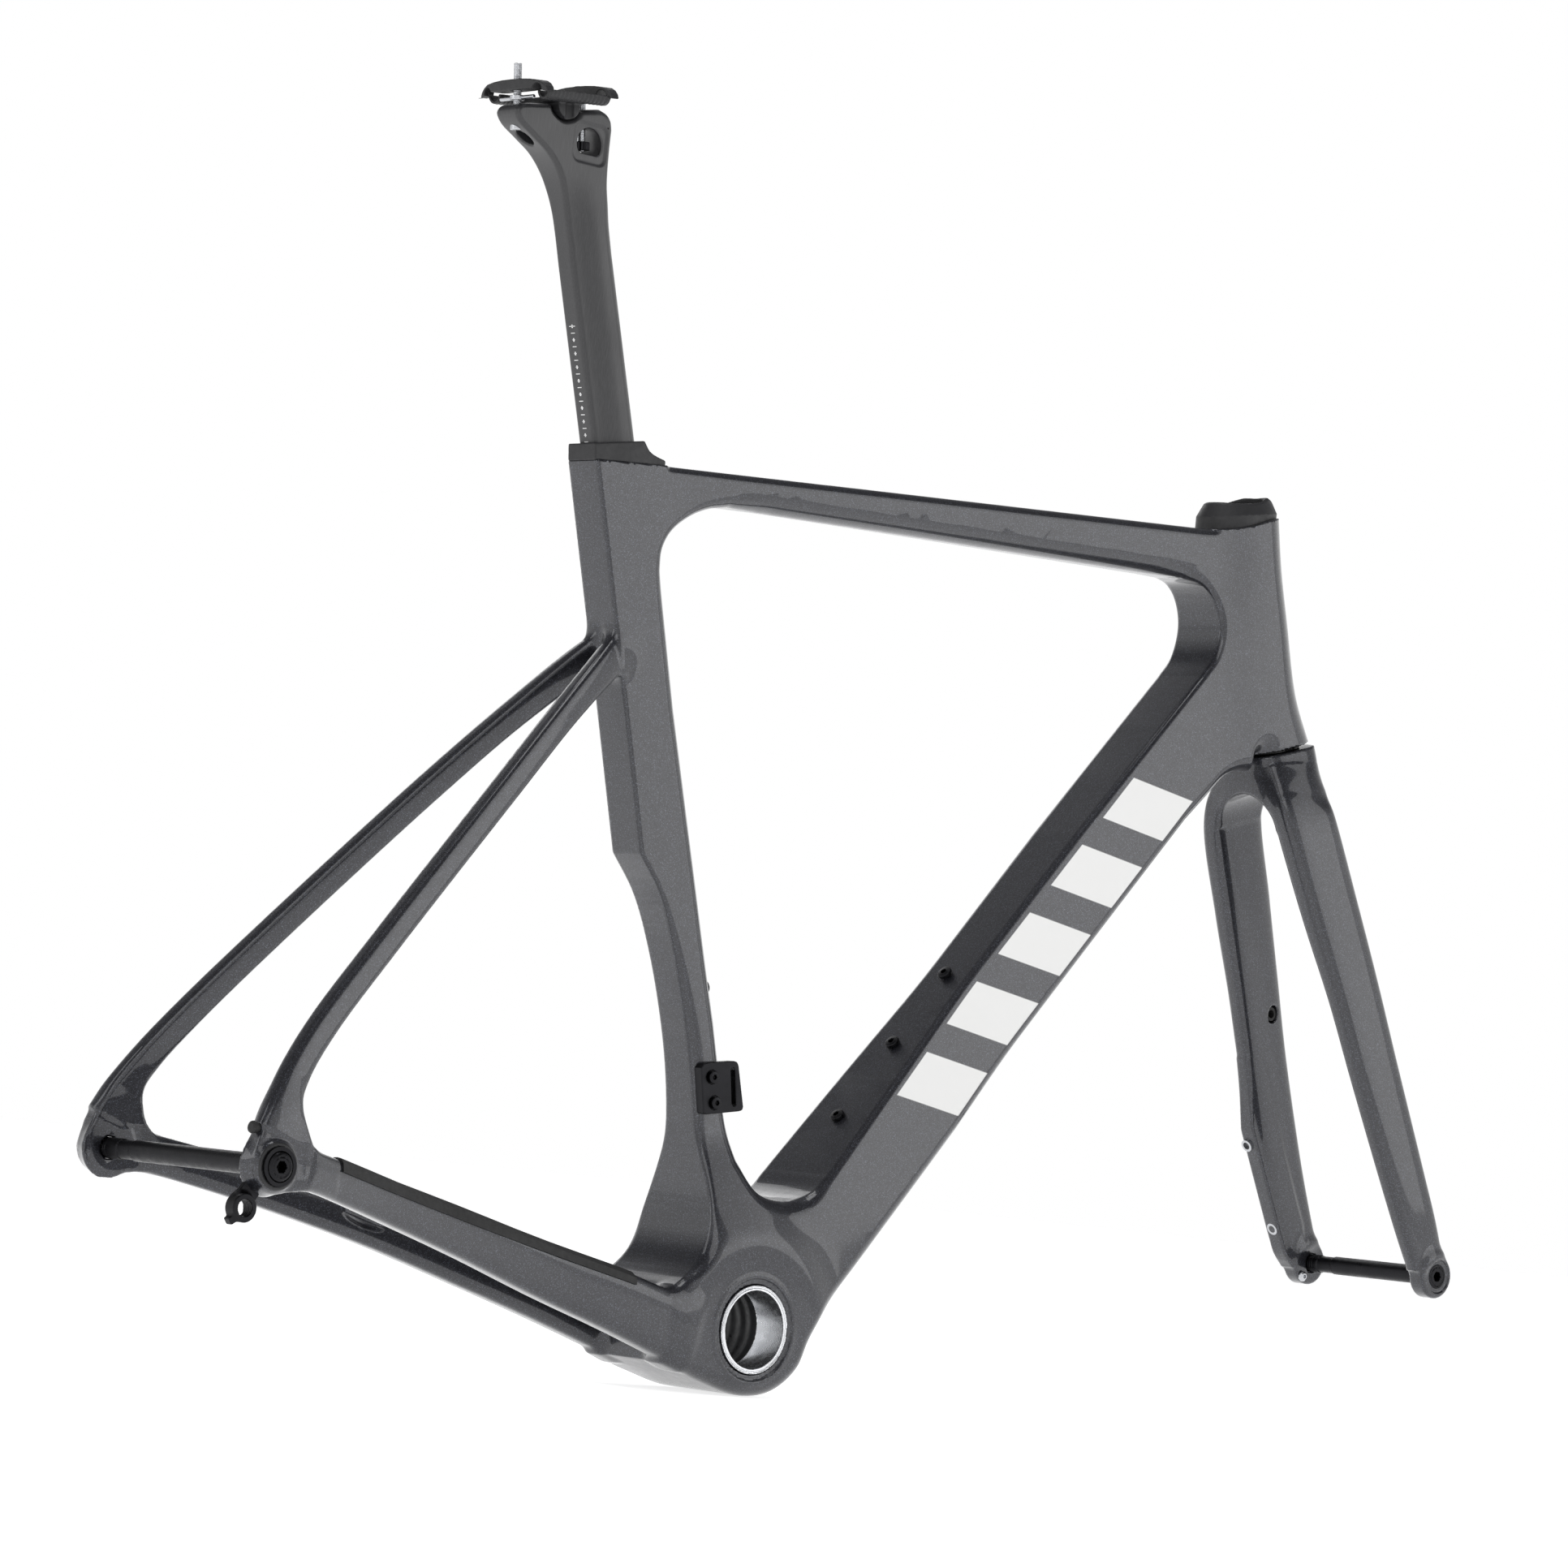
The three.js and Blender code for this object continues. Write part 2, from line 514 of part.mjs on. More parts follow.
// ---------------------------------------------------------------- seatpost and saddle clamp
function postOutline() {
  const shape = new THREE.Shape();
  const spline = (points) => shape.splineThru(points.map(([x, z]) => new THREE.Vector2(x, z)));
  const [backFoot, frontFoot] = [onSeat(SEAT_TOP - POST_INSERTION, -POST_BACK), onSeat(SEAT_TOP - POST_INSERTION, POST_FRONT)];
  shape.moveTo(frontFoot.x, frontFoot.z);
  shape.lineTo(-168.5, 618);
  spline([[-175.5, 643], [-180, 658], [-181, 674], [-181, 689]]);
  spline([[-182.5, 694], [-186, 697.5], [-192, 699.3]]);
  shape.lineTo(-207.8, 696);
  spline([[-211, 690.5], [-219, 687.2], [-227, 690.5], [-230, 695]]);
  shape.lineTo(-247, 692);
  spline([[-253, 690], [-255.5, 686], [-252, 680.5], [-240, 673.5], [-228, 666.5], [-219, 657.5], [-212.5, 646],
    [-206, 628], [-199, 604.5]]);
  shape.lineTo(backFoot.x, backFoot.z);
  shape.closePath();
  return shape;
}

// Directions of the tilted saddle clamp, and points given along and above its pivot.
const CLAMP_FORWARD = vec(Math.cos(CLAMP_TILT), 0, Math.sin(CLAMP_TILT));
const CLAMP_UP = vec(-Math.sin(CLAMP_TILT), 0, Math.cos(CLAMP_TILT));
const onClamp = (forward, up, y = 0) =>
  CLAMP_PIVOT.clone().addScaledVector(CLAMP_FORWARD, forward).addScaledVector(CLAMP_UP, up).setY(y);
const REAR_BOLT = -29;
const FRONT_BOLT = 20;
const RAIL_HEIGHT = 6;
const NUT_HEIGHT = -21.5;
const NUT_THICKNESS = 5;
const boltLine = (forward, low, high, radius, sides = 16, highRadius = radius) =>
  bar(onClamp(forward, low), onClamp(forward, high), radius, sides, highRadius);

const WINDOW = { x: -198, z: 677.5, radius: 9.3, floor: 671.5 };
const postWindow = cut(
  barAcross(WINDOW.x, WINDOW.z, -20, 20, WINDOW.radius, 28),
  block(vec(WINDOW.x, 0, WINDOW.floor - 10), [40, 60, 20]),
);

const seatpost = cut(
  plate(postOutline(), -POST_HALF_WIDTH, POST_HALF_WIDTH, 3, 2),
  postWindow,
  boltLine(FRONT_BOLT, -20, 10, 4.4),
  boltLine(REAR_BOLT, -40, 10, 5.4, 16, 5.4),
);

// The lower half holds both saddle rails in half-round channels and rolls in the post's notch.
function cradle() {
  const channels = [-1, 1].map((side) => {
    const y = side * RAIL_SPACING / 2;
    const tube = bar(onClamp(-28, RAIL_HEIGHT, y), onClamp(19, RAIL_HEIGHT, y), RAIL_RADIUS + 2, 20);
    const above = block(onClamp(0, RAIL_HEIGHT + 6, y), [80, 20, 12], CLAMP_FORWARD);
    return cut(tube, above);
  });
  const web = block(onClamp(0, RAIL_HEIGHT - 2.9), [24, RAIL_SPACING - 4, 3], CLAMP_FORWARD);
  const roller = barAcross(CLAMP_PIVOT.x, CLAMP_PIVOT.z, -13, 13, 8.1, 24);
  const rollerTop = block(onClamp(0, 15), [40, 60, 20], CLAMP_FORWARD);
  const rails = [-1, 1].map((side) => {
    const y = side * RAIL_SPACING / 2;
    return bar(onClamp(-60, RAIL_HEIGHT, y), onClamp(60, RAIL_HEIGHT, y), RAIL_RADIUS, 20);
  });
  return cut(join(web, cut(roller, rollerTop), ...channels), ...rails, boltLine(FRONT_BOLT, -20, 20, 3.4));
}

// An upper yoke reaches across both rails, arched in the middle, and its ends hook over them.
const YOKE_LENGTH = 12;
function yoke(forward) {
  const shape = new THREE.Shape();
  const rail = RAIL_SPACING / 2;
  const half = [[rail + 8, RAIL_HEIGHT - 1.5], [rail + 6, 9], [rail, 11.6], [12, 12.6], [0, 12.9]];
  const across = [...half.map(([y, h]) => [-y, h]), ...half.slice(0, -1).reverse()];
  shape.moveTo(...across[0]);
  shape.splineThru(across.slice(1).map(([y, h]) => new THREE.Vector2(y, h)));
  shape.lineTo(rail + 6.3, RAIL_HEIGHT - 1.5);
  shape.lineTo(rail + 6.3, RAIL_HEIGHT + 0.8);
  shape.absarc(rail, RAIL_HEIGHT, RAIL_RADIUS + 0.2, 0.2, Math.PI - 0.2, false);
  shape.lineTo(12, 10.4);
  shape.lineTo(-12, 10.4);
  shape.absarc(-rail, RAIL_HEIGHT, RAIL_RADIUS + 0.2, 0.2, Math.PI - 0.2, false);
  shape.lineTo(-rail - 6.3, RAIL_HEIGHT + 0.8);
  shape.lineTo(-rail - 6.3, RAIL_HEIGHT - 1.5);
  shape.closePath();
  const geometry = new THREE.ExtrudeGeometry(shape, { depth: YOKE_LENGTH, bevelEnabled: false, curveSegments: 4 });
  geometry.translate(0, 0, -YOKE_LENGTH / 2);
  geometry.applyMatrix4(new THREE.Matrix4().makeBasis(vec(0, 1, 0), CLAMP_UP, CLAMP_FORWARD));
  const centre = onClamp(forward, 0);
  geometry.translate(centre.x, 0, centre.z);
  return cut(solid(geometry), boltLine(forward, 0, 30, 3.2));
}

const frontClampBolt = cut(
  join(
    turned([[0, 0], [5, 0], [5, 1.4], [3.2, 3], [0, 3.3]], onClamp(FRONT_BOLT, 13.2), CLAMP_UP, 20),
    boltLine(FRONT_BOLT, -24.6, 13.6, 2.5),
  ),
  hexSocket(onClamp(FRONT_BOLT, 16.8), CLAMP_UP.clone().negate(), 4, 2.6),
);
const rearClampBolt = cut(
  join(boltLine(REAR_BOLT, -14, 22.6, 2.5), boltLine(REAR_BOLT, -16, -12, 4, 20)),
  hexSocket(onClamp(REAR_BOLT, -16.2), CLAMP_UP, 4, 2.6),
);
// A cross pin threaded onto the rear bolt keeps the yoke on it when the clamp is open.
const PIN_HEIGHT = 2.6;
const PIN_RADIUS = 1.2;
const rearCrossPin = cut(
  join(
    bar(onClamp(REAR_BOLT, PIN_HEIGHT, -15), onClamp(REAR_BOLT, PIN_HEIGHT, 15), PIN_RADIUS, 14),
    boltLine(REAR_BOLT, PIN_HEIGHT - PIN_RADIUS, PIN_HEIGHT + PIN_RADIUS, 4.4, 20),
  ),
  boltLine(REAR_BOLT, -10, 20, 2.5 + GAP),
);
// A thumb nut with a milled rim turns on the front bolt inside the window.
function tiltNut() {
  const shape = new THREE.Shape();
  const teeth = 12;
  for (let i = 0; i < 2 * teeth; i++) {
    const angle = (Math.PI * i) / teeth;
    const radius = i % 2 === 0 ? 5.4 : 4.9;
    shape[i === 0 ? "moveTo" : "lineTo"](radius * Math.cos(angle), radius * Math.sin(angle));
  }
  shape.closePath();
  const geometry = new THREE.ExtrudeGeometry(shape, { depth: NUT_THICKNESS, bevelEnabled: false });
  geometry.applyMatrix4(new THREE.Matrix4().makeBasis(vec(0, 1, 0), CLAMP_FORWARD.clone().negate(), CLAMP_UP));
  const foot = onClamp(FRONT_BOLT, NUT_HEIGHT - NUT_THICKNESS / 2);
  geometry.translate(foot.x, 0, foot.z);
  return cut(solid(geometry), boltLine(FRONT_BOLT, -50, 0, 2.5 + GAP));
}

// ---------------------------------------------------------------- headset
const ring = (outer, inner, from, height, sides = 28) => turned([
  [inner, 0], [outer, 0], [outer, height], [inner, height], [inner, 0],
], onSteer(from), STEER_UP, sides);
const lowerBearing = ring(BEARING_RADIUS, STEERER_RADIUS + GAP, LOWER_BEARING, BEARING_HEIGHT);
const upperBearing = ring(BEARING_RADIUS, STEERER_RADIUS + GAP, UPPER_BEARING, BEARING_HEIGHT);
const crownRace = ring(19.5, STEERER_RADIUS + GAP, CROWN_TOP + GAP, LOWER_BEARING - CROWN_TOP - 2 * GAP);
const compressionRing = ring(18.5, STEERER_RADIUS + GAP, UPPER_BEARING + BEARING_HEIGHT + GAP, 3.6);

function topCoverOutline() {
  const shape = new THREE.Shape();
  const spline = (points) => shape.splineThru(points.map(([x, z]) => new THREE.Vector2(x, z)));
  shape.moveTo(337, 532.9);
  spline([[358, 535], [378, 539.5], [398, 546.5], [417.5, 552]]);
  spline([[414.5, 557], [408, 560.5], [398, 560.5]]);
  spline([[386, 557.5], [372, 554.5], [356, 552.5], [345, 549], [340.5, 541]]);
  shape.closePath();
  return shape;
}
function topCoverPlan() {
  const shape = new THREE.Shape();
  shape.absellipse(388, 0, 31, 20.5, 0, 2 * Math.PI);
  const geometry = new THREE.ExtrudeGeometry(shape, { depth: 60, bevelEnabled: false, curveSegments: 12 });
  geometry.translate(0, 0, 520);
  return solid(geometry);
}
const topCover = cut(
  plate(topCoverOutline(), -25, 25).intersect(topCoverPlan()),
  bar(onSteer(500), onSteer(560), 15, 24),
  bar(onSteer(490), onSteer(UPPER_BEARING + BEARING_HEIGHT + 4.6), 19.5, 24),
);

// ---------------------------------------------------------------- fork
const steererTube = cut(bar(onSteer(334), onSteer(STEERER_TOP), STEERER_RADIUS, 24),
  bar(onSteer(300), onSteer(560), STEERER_BORE, 28));
const expanderPlug = cut(
  join(
    bar(onSteer(STEERER_TOP - 26), onSteer(STEERER_TOP + 1), STEERER_BORE - GAP, 28),
    bar(onSteer(STEERER_TOP + GAP), onSteer(STEERER_TOP + 2), STEERER_RADIUS - 0.3, 24),
  ),
  hexSocket(onSteer(STEERER_TOP + 2.5), STEER_UP.clone().negate(), 6, 12),
);

const CROWN_FOOT = 314;
const CROWN_SECTIONS = [
  [CROWN_FOOT, -4.5, 42.4, 23.5], [328, -4, 39.5, 25], [340, -1, 33, 26], [351, 1.5, 26, 27],
  [CROWN_TOP, 2, 23, 27.5],
];
// The crown swells from the head tube's round foot to the span of the two legs; the tyre passes below it.
function crownBody() {
  const steps = 8;
  const geometry = new THREE.CylinderGeometry(1, 1, 1, 28, steps);
  const at = geometry.attributes.position;
  for (let i = 0; i < at.count; i++) {
    const along = THREE.MathUtils.lerp(CROWN_FOOT, CROWN_TOP, at.getY(i) + 0.5);
    const [centre, halfWidth, halfLength] = between(CROWN_SECTIONS, along);
    const place = onSteer(along, centre + at.getZ(i) * halfLength, at.getX(i) * halfWidth);
    at.setXYZ(i, place.x, place.y, place.z);
  }
  const archRadius = 24;
  const archCentre = CROWN_FOOT - 4;
  const arch = bar(onSteer(archCentre, -80), onSteer(archCentre, 80), archRadius, 28);
  return cut(solid(geometry), arch, bar(onSteer(300), onSteer(400), STEERER_RADIUS + GAP, 24));
}

const legPath = new THREE.CatmullRomCurve3([
  onSteer(CROWN_FOOT - GAP, -3.5, -33.2), vec(471.5, -40, 300), vec(495, -45, 250), vec(517, -49.5, 200),
  vec(550, -54.5, 131), vec(566, -56, 100), vec(577, -56, 80),
]);
const LEG_SECTIONS = [
  [0, 9, 23.5, 2.8], [0.2, 8.2, 21.8, 2.8], [0.5, 7.2, 19.4, 2.8], [0.78, 6.5, 17.6, 2.8], [0.92, 6.2, 16.4, 2.8],
  [1, 6, 14.5, 2.8],
];
const LEG_INNER = FRONT_SPACING / 2;
const LEG_OUTER = 62;
const aboveLegs = block(onSteer(CROWN_FOOT - GAP + 60, 0), [200, 200, 120], STEER_FORWARD);
const frontAxleHole = barAcross(FRONT_AXLE.x, FRONT_AXLE.z, -100, 100, AXLE_RADIUS + GAP);
function forkLeg() {
  const blade = tubeAlong(legPath, (t) => between(LEG_SECTIONS, t), 16, 14);
  const tip = barAcross(FRONT_AXLE.x - 1.5, FRONT_AXLE.z, -LEG_OUTER, -LEG_INNER, 14.5, 28);
  const tilted = cut(join(blade, tip), aboveLegs);
  const wheelSide = block(vec(560, 0, 80), [160, 2 * LEG_INNER, 60]);
  return cut(tilted, wheelSide);
}
const legRight = cut(forkLeg(), barAcross(FRONT_AXLE.x, FRONT_AXLE.z, -100, -30, AXLE_RADIUS + GAP),
  barAcross(FRONT_AXLE.x, FRONT_AXLE.z, -100, -57, FRONT_AXLE_HEAD_RADIUS + GAP, 24));

// The left leg carries the flat brake mount on its rear face, the hose exit and the axle pinch bolt.
const brakeMountBlock = plate(outline([
  [517, 163], [511, 152], [553, 84], [568, 66], [580, 66], [560, 110],
]), 50, 62, 1.2);
const BRAKE_OUT = vec(-0.86, 0, -0.51).normalize();
const brakeInserts = [vec(516.5, 56, 143.2), vec(549.5, 56, 89.8)];
const insertHole = (place) =>
  bar(place.clone().addScaledVector(BRAKE_OUT, 6), place.clone().addScaledVector(BRAKE_OUT, -10), 4.2 + GAP, 24);
const brakeInsert = (place) => cut(
  bar(place, place.clone().addScaledVector(BRAKE_OUT, -9), 4.2, 24),
  bar(place.clone().addScaledVector(BRAKE_OUT, 2), place.clone().addScaledVector(BRAKE_OUT, -8), 2.6, 16),
);
const HOSE_PORT = vec(512, 42.5, 232);
const hosePort = (radius, low, high) =>
  bar(vec(HOSE_PORT.x, HOSE_PORT.y + low, HOSE_PORT.z), vec(HOSE_PORT.x, HOSE_PORT.y + high, HOSE_PORT.z), radius, 20);
const hoseGrommet = cut(hosePort(4.6, -1.4, 3.4), hosePort(2.8, -5, 10));
const legLeft = cut(
  join(mirrored(forkLeg()), brakeMountBlock),
  frontAxleHole,
  ...brakeInserts.map(insertHole),
  hosePort(4.6 + GAP, -8, 4),
  barAcross(FRONT_AXLE.x - 9, 60.5, 46, 58, 2.7, 16),
);
const pinchBolt = buttonBolt(vec(FRONT_AXLE.x - 9, 50, 60.5), vec(0, -1, 0),
  { head: 3.4, height: 2.4, shank: 2.4, length: 7, socket: 2.5 });

const frontAxle = cut(
  join(
    barAcross(FRONT_AXLE.x, FRONT_AXLE.z, -58, 61, AXLE_RADIUS, 24),
    barAcross(FRONT_AXLE.x, FRONT_AXLE.z, -61, -57.3, FRONT_AXLE_HEAD_RADIUS, 24),
  ),
  hexSocket(vec(FRONT_AXLE.x, -61.5, FRONT_AXLE.z), ACROSS, 6, 8),
);

// ---------------------------------------------------------------- the scene graph
const PAINT = { color: 0x4a4b50, roughness: 0.32, metalness: 0.55 };
const SATIN = { color: 0x37373a, roughness: 0.55, metalness: 0.1 };
const MATTE = { color: 0x2c2c2e, roughness: 0.7, metalness: 0 };
const BLACK_METAL = { color: 0x1d1d1f, roughness: 0.4, metalness: 0.6 };
const STEEL = { color: 0xb9bbbf, roughness: 0.25, metalness: 1 };
const MACHINED = { color: 0xc9cbcf, roughness: 0.3, metalness: 1 };
const RUBBER = { color: 0x1a1a1a, roughness: 0.85, metalness: 0 };

const frameset = new THREE.Group();
function add(name, body, look) {
  const mesh = body.getMesh();
  const geometry = new THREE.BufferGeometry();
  geometry.setAttribute("position", new THREE.BufferAttribute(Float32Array.from(mesh.vertProperties), 3));
  geometry.setIndex(Array.from(mesh.triVerts));
  geometry.computeVertexNormals();
  const node = new THREE.Mesh(geometry, new THREE.MeshStandardMaterial(look));
  node.name = name;
  frameset.add(node);
}

add("down_tube", cut(downTubeBody, ...bottleHoles), PAINT);
add("top_tube", topTubeBody, PAINT);
add("seat_tube", cut(seatTubeBody, ...bottleHoles, ...mountHoles), PAINT);
add("head_tube", headTubeBody, PAINT);
add("bottom_bracket_shell", cut(shellBody, portHole(SHELL_PLUG, SHELL_PLUG_OUT, 4)), PAINT);
add("chainstay_right", chainstayRight, PAINT);
add("chainstay_left", mirrored(chainstayRight), PAINT);
add("seatstay_right", seatstayRight, PAINT);
add("seatstay_left", mirrored(seatstayRight), PAINT);
add("dropout_right", cut(dropoutRight, portHole(REAR_PLUG, REAR_PLUG_OUT, 3.6)), PAINT);
add("dropout_left", dropoutLeft, PAINT);
add("derailleur_hanger", derailleurHanger, BLACK_METAL);
add("hanger_nut", hangerNut, BLACK_METAL);
add("rear_axle", rearAxle, BLACK_METAL);
add("shell_sleeve_right", shellSleeve, MACHINED);
add("shell_sleeve_left", mirrored(shellSleeve), MACHINED);
for (const { name, seat, outward } of bottleBolts) {
  add(name, buttonBolt(seat, outward, {}), BLACK_METAL);
}
add("front_derailleur_mount", mountPlate, BLACK_METAL);
MOUNT_BOLTS.forEach((place, i) => add(`mount_bolt_${i + 1}`, mountBolt(place), BLACK_METAL));
add("chainstay_protector", chainstayProtector, RUBBER);
add("seatstay_port_plug", portPlug(REAR_PLUG, REAR_PLUG_OUT, 3.6), RUBBER);
add("shell_port_plug", portPlug(SHELL_PLUG, SHELL_PLUG_OUT, 4), RUBBER);
add("seat_clamp_cover", clampCover, MATTE);
add("seat_clamp_wedge", clampWedge, STEEL);
add("seat_clamp_bolt", clampBolt, STEEL);
add("seatpost", seatpost, SATIN);
add("rail_cradle", cradle(), MATTE);
add("front_rail_yoke", yoke(FRONT_BOLT), MATTE);
add("rear_rail_yoke", yoke(REAR_BOLT), MATTE);
add("front_clamp_bolt", frontClampBolt, STEEL);
add("rear_clamp_bolt", rearClampBolt, STEEL);
add("rear_cross_pin", rearCrossPin, STEEL);
add("tilt_thumb_nut", tiltNut(), BLACK_METAL);
add("headset_top_cover", topCover, MATTE);
add("compression_ring", compressionRing, STEEL);
add("upper_bearing", upperBearing, STEEL);
add("lower_bearing", lowerBearing, STEEL);
add("crown_race", crownRace, STEEL);
add("expander_plug", expanderPlug, BLACK_METAL);
add("steerer_tube", steererTube, PAINT);
add("fork_crown", crownBody(), PAINT);
add("fork_leg_right", legRight, PAINT);
add("fork_leg_left", legLeft, PAINT);
add("fork_hose_grommet", hoseGrommet, RUBBER);
brakeInserts.forEach((place, i) => add(`brake_insert_${i + 1}`, brakeInsert(place), STEEL));
add("axle_pinch_bolt", pinchBolt, STEEL);
add("front_axle", frontAxle, BLACK_METAL);

export default frameset;
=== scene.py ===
"""Looks of the carbon road frameset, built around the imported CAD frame. Lengths are millimetres
until a mesh is made, when they become metres. X forward, Y to the rider's left, Z up."""
import json
import math

import bmesh
import bpy
import numpy as np
from mathutils import Matrix, Vector


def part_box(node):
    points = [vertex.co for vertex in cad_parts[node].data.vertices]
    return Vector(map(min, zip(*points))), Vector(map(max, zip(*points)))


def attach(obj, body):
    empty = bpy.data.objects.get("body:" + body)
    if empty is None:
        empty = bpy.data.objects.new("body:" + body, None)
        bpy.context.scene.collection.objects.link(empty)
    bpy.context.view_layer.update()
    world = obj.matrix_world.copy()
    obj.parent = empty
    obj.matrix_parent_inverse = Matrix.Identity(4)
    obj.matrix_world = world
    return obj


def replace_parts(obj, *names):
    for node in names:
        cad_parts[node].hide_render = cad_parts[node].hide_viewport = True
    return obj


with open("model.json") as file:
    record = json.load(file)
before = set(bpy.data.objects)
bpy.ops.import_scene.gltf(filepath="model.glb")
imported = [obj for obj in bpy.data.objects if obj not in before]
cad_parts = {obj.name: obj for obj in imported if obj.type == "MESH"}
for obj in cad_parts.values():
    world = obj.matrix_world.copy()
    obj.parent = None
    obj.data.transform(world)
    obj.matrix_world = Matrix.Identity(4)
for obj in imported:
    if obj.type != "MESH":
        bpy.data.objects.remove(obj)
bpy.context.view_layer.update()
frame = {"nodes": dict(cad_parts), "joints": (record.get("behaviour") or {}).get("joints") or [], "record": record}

MM = 0.001
JOINTS = {joint["name"]: joint for joint in frame["joints"]}
NODE_SLOTS = {part["node"]: part["material_slot"] for part in frame["record"]["subparts"]}


# ---------------------------------------------------------------- places read from the frame
def middle(node):
    low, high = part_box(node)
    return np.array((low + high) / 2) / MM


def node_places(node):
    return np.array([vertex.co[:] for vertex in frame["nodes"][node].data.vertices]) / MM


def corners(node):
    low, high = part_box(node)
    return np.array(low) / MM, np.array(high) / MM


REAR_AXLE = middle("rear_axle")[[0, 2]]
FRONT_AXLE = middle("front_axle")[[0, 2]]
SHELL_HALF_WALL = 39.5
STEER_UP = np.array(JOINTS["steering"]["axis"])
STEER_BASE = np.array(JOINTS["steering"]["pos_m"]) / MM
STEER_FORWARD = np.array([STEER_UP[2], 0.0, -STEER_UP[0]])
SEAT_UP = np.array(JOINTS["seatpost_height"]["axis"])
SEAT_FORWARD = np.array([SEAT_UP[2], 0.0, -SEAT_UP[0]])
SEAT_BASE = np.array([4.4, 0.0, 0.0])
SEAT_TOP = 522.5


def on_steer(along, forward, y):
    place = STEER_BASE + STEER_UP * along + STEER_FORWARD * forward
    return np.array([place[0], y, place[2]])


def on_seat(along, forward):
    return SEAT_BASE + SEAT_UP * along + SEAT_FORWARD * forward


# ---------------------------------------------------------------- curves and side-view maps
def smooth_rows(rows, per_span):
    """Rows of numbers joined by centripetal Catmull-Rom spans."""
    rows = np.array(rows, float)
    padded = np.vstack([2 * rows[0] - rows[1], rows, 2 * rows[-1] - rows[-2]])
    out = []
    for p0, p1, p2, p3 in zip(padded, padded[1:], padded[2:], padded[3:]):
        k0, k1, k2 = (max(np.linalg.norm(b - a), 1e-6) ** 0.5 for a, b in ((p0, p1), (p1, p2), (p2, p3)))
        m1 = (p1 - p0) / k0 - (p2 - p0) / (k0 + k1) + (p2 - p1) / k1
        m2 = (p2 - p1) / k1 - (p3 - p1) / (k1 + k2) + (p3 - p2) / k2
        for t in np.linspace(0, 1, per_span, endpoint=False):
            h = t * t * (3 - 2 * t)
            out.append(p1 * (1 - h) + p2 * h + k1 * (m1 * t * (1 - t) ** 2 - m2 * t * t * (1 - t)))
    return np.array([*out, rows[-1]])


class SideMap:
    """Numbers kept on a grid over the side view (x, z) and read back between grid points."""

    def __init__(self, low, high, step):
        self.low = np.array(low, float)
        self.step = step
        self.xs = np.arange(low[0], high[0] + step, step)
        self.zs = np.arange(low[1], high[1] + step, step)

    def distance(self, loops, reach=48):
        """Signed distance to closed loops of points, negative inside, up to reach."""
        best = np.full((len(self.xs), len(self.zs)), float(reach) ** 2)
        inside = np.zeros(best.shape, bool)
        for loop in loops:
            for a, b in zip(loop, np.roll(loop, -1, axis=0)):
                self._nearest(best, a, b, reach)
                self._cross(inside, a, b)
        return np.sqrt(best) * np.where(inside, -1, 1)

    def _nearest(self, best, a, b, reach):
        lo = np.floor((np.minimum(a, b) - reach - self.low) / self.step).astype(int)
        hi = np.ceil((np.maximum(a, b) + reach - self.low) / self.step).astype(int) + 1
        i0, j0 = np.maximum(lo, 0)
        i1, j1 = hi
        x = self.xs[i0:i1, None] - a[0]
        z = self.zs[None, j0:j1] - a[1]
        d = b - a
        t = np.clip((x * d[0] + z * d[1]) / max(d @ d, 1e-9), 0, 1)
        window = best[i0:i1, j0:j1]
        np.minimum(window, (x - t * d[0]) ** 2 + (z - t * d[1]) ** 2, out=window)

    def _cross(self, inside, a, b):
        if a[0] == b[0]:
            return
        (x0, z0), (x1, z1) = (a, b) if a[0] < b[0] else (b, a)
        columns = np.where((self.xs > x0) & (self.xs <= x1))[0]
        heights = z0 + (self.xs[columns] - x0) * (z1 - z0) / (x1 - x0)
        inside[columns] ^= self.zs[None, :] > heights[:, None]

    def read(self, values, x, z):
        """The value at each place, from the nine grid points round it, without creases."""
        u = np.clip((x - self.low[0]) / self.step, 1, len(self.xs) - 2.01)
        v = np.clip((z - self.low[1]) / self.step, 1, len(self.zs) - 2.01)
        i, j = np.rint(u).astype(int), np.rint(v).astype(int)
        s, t = u - i, v - j
        total = 0
        for di, wi in ((-1, (0.5 - s) ** 2 / 2), (0, 0.75 - s * s), (1, (0.5 + s) ** 2 / 2)):
            for dj, wj in ((-1, (0.5 - t) ** 2 / 2), (0, 0.75 - t * t), (1, (0.5 + t) ** 2 / 2)):
                total = total + wi * wj * values[i + di, j + dj]
        return total

    def blend(self, lines, power, soft):
        """A value at each grid point: the mean of the lines' values, the nearest counting most.
        A line is (from, to, value at from, value at to)."""
        x, z = self.xs[:, None], self.zs[None, :]
        total = np.zeros((len(self.xs), len(self.zs)))
        weights = np.zeros_like(total)
        for a, b, first, last in lines:
            d = np.array(b, float) - a
            t = np.clip(((x - a[0]) * d[0] + (z - a[1]) * d[1]) / (d @ d), 0, 1)
            away = np.hypot(x - a[0] - t * d[0], z - a[1] - t * d[1])
            weight = 1 / (away + soft) ** power
            total += weight * (first + (last - first) * t)
            weights += weight
        return total / weights


def blurred(values, rounds):
    """Values smoothed by repeated averaging with their neighbours."""
    for _ in range(rounds):
        padded = np.pad(values, 1, mode="edge")
        values = (padded[:-2, 1:-1] + padded[2:, 1:-1] + padded[1:-1, :-2] + padded[1:-1, 2:]
                  + 4 * values) / 8
    return values


# ---------------------------------------------------------------- distances to solid shapes
def meet(a, b, radius):
    """Where two solids overlap, with the edge between them rounded."""
    u, v = np.maximum(a + radius, 0), np.maximum(b + radius, 0)
    return np.minimum(np.maximum(a, b), -radius) + np.hypot(u, v)


